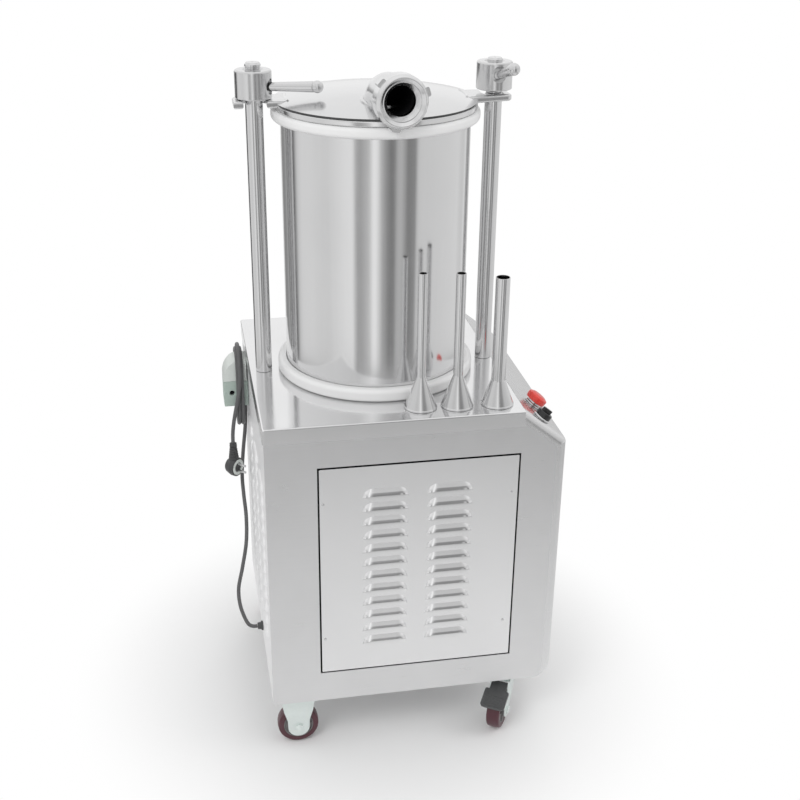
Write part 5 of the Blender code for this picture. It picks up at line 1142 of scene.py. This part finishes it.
def make_swivel_casters():
    """The two braked swivel casters on the control side."""
    low = CASTER_PLATE_LOW
    race_low = low - 0.007
    crown_top = race_low - CLEAR
    crown_low = crown_top - 0.003
    trail = SWIVEL_TRAIL
    for name, (y, azimuth) in SWIVELS.items():
        at = (SWIVEL_X, y, 0)
        turn = about("Z", azimuth)
        plate = prism(rectangle(-0.031, -0.031, 0.031, 0.031, 0.006, 6), low, CASTER_TOP)
        race = lathe([(0, race_low), (0.0185, race_low, 0.001), (0.020, race_low + 0.003, 0.002),
                      (0.019, low + 0.001), (0, low + 0.001)], 44)
        add(f"swivel_top_{name}", joined(plate, race, *bolt_heads(0.0245, 0.0245)), "zinc",
            f"swivel_plate_{name}", place=at, bevel=0.0005)
        crown = block((-0.020, -CHEEK_OUTER, crown_low), (0.026, CHEEK_OUTER, crown_top))
        outline = ([(-0.020, crown_top)] + arc(trail, WHEEL_RADIUS, 0.014, pi * 1.02, 2 * pi, 18)
                   + filleted([(0.046, 0.046), (0.046, 0.052, 0.01), (0.026, crown_top)], closed=False))
        stud = hexagon(0.008, crown_low, crown_low - 0.005)
        add(f"fork_{name}", joined(crown, stud, *cheeks(outline)), "zinc", f"swivel_fork_{name}",
            f"{name}_swivel", at, turn, bevel=0.0007)
        axle = Vector((trail, 0, WHEEL_RADIUS))
        add(f"fork_bolt_{name}", moved(bolt(), axle), "zinc", None, f"{name}_swivel", at, turn)
        add_wheel(f"swivel_wheel_{name}", f"{name}_swivel_wheel_body", Vector(at) + turn @ axle,
                  turn @ about("X", -pi / 2))
        hinge = Vector(at) + turn @ Vector((PEDAL_START[0], 0, PEDAL_START[1]))
        add(f"pedal_{name}", pedal(), "dark", f"brake_pedal_{name}", f"{name}_pedal", hinge, turn,
            bevel=0.0008)


def pedal():
    """The brake pedal over the wheel, about its hinge in the fork's cheeks."""
    run, rise = PEDAL_END[0] - PEDAL_START[0], PEDAL_END[1] - PEDAL_START[1]
    length = hypot(run, rise)
    foot = length / 3
    thick = PEDAL_THICKNESS
    side = [(foot, -0.022, 0.003), (length - 0.001, -0.022, 0.005), (length, -0.012, 0.01)]
    plan = filleted(side + [(x, -y, fillet) for x, y, fillet in reversed(side)], steps=5)
    neck = block((0.0004, -0.0145, 0.0002), (foot + 0.0035, 0.0145, thick - 0.001))
    ribs = [block((length - 0.006 - 0.005 * index, -0.016, thick - 0.0012),
                  (length - 0.0035 - 0.005 * index, 0.016, thick - 0.0001)) for index in range(5)]
    return moved(joined(prism(plan, 0.0004, thick - 0.0008), neck, *ribs), turn=about("Y", -atan2(rise, run)))


# ---------------------------------------------------------------- inside and studio

HIDDEN_LOOKS = {
    "panel": ("base_plate", "hydraulic_cylinder", "valve_block", "pump"),
    "iron": ("load_plate", "frame_leg_near_left", "frame_leg_near_right", "frame_leg_far_left",
             "frame_leg_far_right", "oil_tank", "motor"),
    "hose": ("pressure_hose",),
    "turned": ("food_piston", "piston_rod"),
    "white": ("piston_seal",),
}


def dress_inside():
    """Give the CAD parts inside the cabinet and the barrel their own materials."""
    for look, names in HIDDEN_LOOKS.items():
        for name in names:
            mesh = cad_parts[name].data
            mesh.materials.clear()
            mesh.materials.append(LOOKS[look])


def band_tones(tree, share, bands):
    """A ring of grey tones by compass angle, as a share of a full turn from -180 degrees."""
    made = node(tree, "ValToRGB", {"Fac": share})
    ramp = made.color_ramp
    ramp.elements.remove(ramp.elements[-1])
    for index, (angle, tone) in enumerate(bands):
        place = (angle + 180) / 360
        element = ramp.elements.new(place) if index else ramp.elements[0]
        element.position = place
        element.color = (tone, tone, tone, 1)
    return made.outputs["Color"]


def white_shown(tree, plain, white, amount=1.0):
    """The plain shader, with white in its place for camera and transmission rays."""
    ray = node(tree, "LightPath")
    seen = maths(tree, "MAXIMUM", ray.outputs["Is Camera Ray"], ray.outputs["Is Transmission Ray"])
    mixed = node(tree, "MixShader", {0: maths(tree, "MULTIPLY", seen, amount), 1: plain.outputs[0],
                                     2: white.outputs[0]})
    return mixed.outputs[0]


def make_world():
    """White for the camera, a soft grey studio for reflections, even light for the rest."""
    world = bpy.data.worlds.new("studio")
    bpy.context.scene.world = world
    world.use_nodes = True
    tree = world.node_tree
    tree.nodes.clear()
    split = node(tree, "SeparateXYZ", {0: node(tree, "TexCoord").outputs["Generated"]})
    angle = maths(tree, "ARCTAN2", split.outputs["Y"], split.outputs["X"])
    share = maths(tree, "MULTIPLY_ADD", angle, 1 / (2 * pi), 0.5)
    tone = band_tones(tree, share, LOW_BANDS)
    above = [band_tones(tree, share, MIDDLE_BANDS), band_tones(tree, share, HIGH_BANDS),
             (ROOF_TONE, ROOF_TONE, ROOF_TONE, 1)]
    for (start, end), ring in zip(RING_EDGES, above):
        rise = node(tree, "MapRange", {"Value": split.outputs["Z"], "From Min": sin(radians(start)),
                                       "From Max": sin(radians(end))}, interpolation_type="SMOOTHSTEP")
        mixed = node(tree, "Mix", {"Factor": rise.outputs["Result"], 6: tone, 7: ring}, data_type="RGBA")
        tone = mixed.outputs[2]
    light = node(tree, "Background", {"Strength": EVEN_LIGHT})
    mirrored = node(tree, "Background", {"Color": tone})
    white = node(tree, "Background", {"Color": (1, 1, 1, 1)})
    glossy = node(tree, "LightPath").outputs["Is Glossy Ray"]
    unseen = node(tree, "MixShader", {0: glossy, 1: light.outputs[0], 2: mirrored.outputs[0]})
    node(tree, "OutputWorld", {"Surface": white_shown(tree, unseen, white)})


def make_floor():
    """A round pale floor that fades to the white background away from the machine."""
    mesh = turned([(0, -0.0005), (1.7, -0.0005)], 96, closed=False)
    linked("floor", mesh)
    made = bpy.data.materials.new("floor")
    made.use_nodes = True
    tree = made.node_tree
    coords = node(tree, "TexCoord").outputs["Object"]
    distance = node(tree, "VectorMath", {0: coords}, operation="LENGTH").outputs["Value"]
    fade = node(tree, "MapRange", {"Value": distance, "From Min": 0.24, "From Max": 0.60},
                interpolation_type="SMOOTHSTEP")
    tone = node(tree, "MapRange", {"Value": distance, "From Min": 0.3, "From Max": 1.5, "To Min": 0.93,
                                   "To Max": 0.50}).outputs["Result"]
    grey = node(tree, "CombineXYZ", {"X": tone, "Y": tone, "Z": tone})
    shader = tree.nodes["Principled BSDF"]
    for socket, value in (("Roughness", 0.8), ("Specular IOR Level", 0.2), ("Base Color", grey.outputs[0])):
        feed(tree, shader.inputs[socket], value)
    white = node(tree, "Emission", {"Color": (1, 1, 1, 1)})
    feed(tree, tree.nodes["Material Output"].inputs["Surface"],
         white_shown(tree, shader, white, fade.outputs["Result"]))
    mesh.materials.append(made)


def lamp(name, place, size, power):
    """A soft square lamp that looks at the machine and isn't mirrored in the steel."""
    data = bpy.data.lights.new(name, "AREA")
    data.shape = "SQUARE"
    data.size = size
    data.energy = power
    light = linked(name, data, place)
    light.rotation_euler = (Vector((0, 0, 0.6)) - Vector(place)).to_track_quat("-Z", "Y").to_euler()
    light.visible_glossy = False


def make_studio():
    """The world, the floor, three lamps and a plain view transform."""
    make_world()
    make_floor()
    lamp("key", (-1.6, -1.9, 2.6), 1.2, 26)
    lamp("fill", (2.2, -0.8, 2.2), 1.4, 12)
    lamp("back", (0.4, 2.4, 2.4), 1.4, 14)
    bpy.context.scene.view_settings.view_transform = "Standard"


make_camera()
make_cord()
make_tabletop()
make_panels()
make_control_panel()
make_door()
make_barrel()
make_lid()
make_outlet()
make_posts()
make_nuts()
make_nozzles()
make_controls()
make_junction_box()
make_fixed_casters()
make_swivel_casters()
dress_inside()
make_studio()
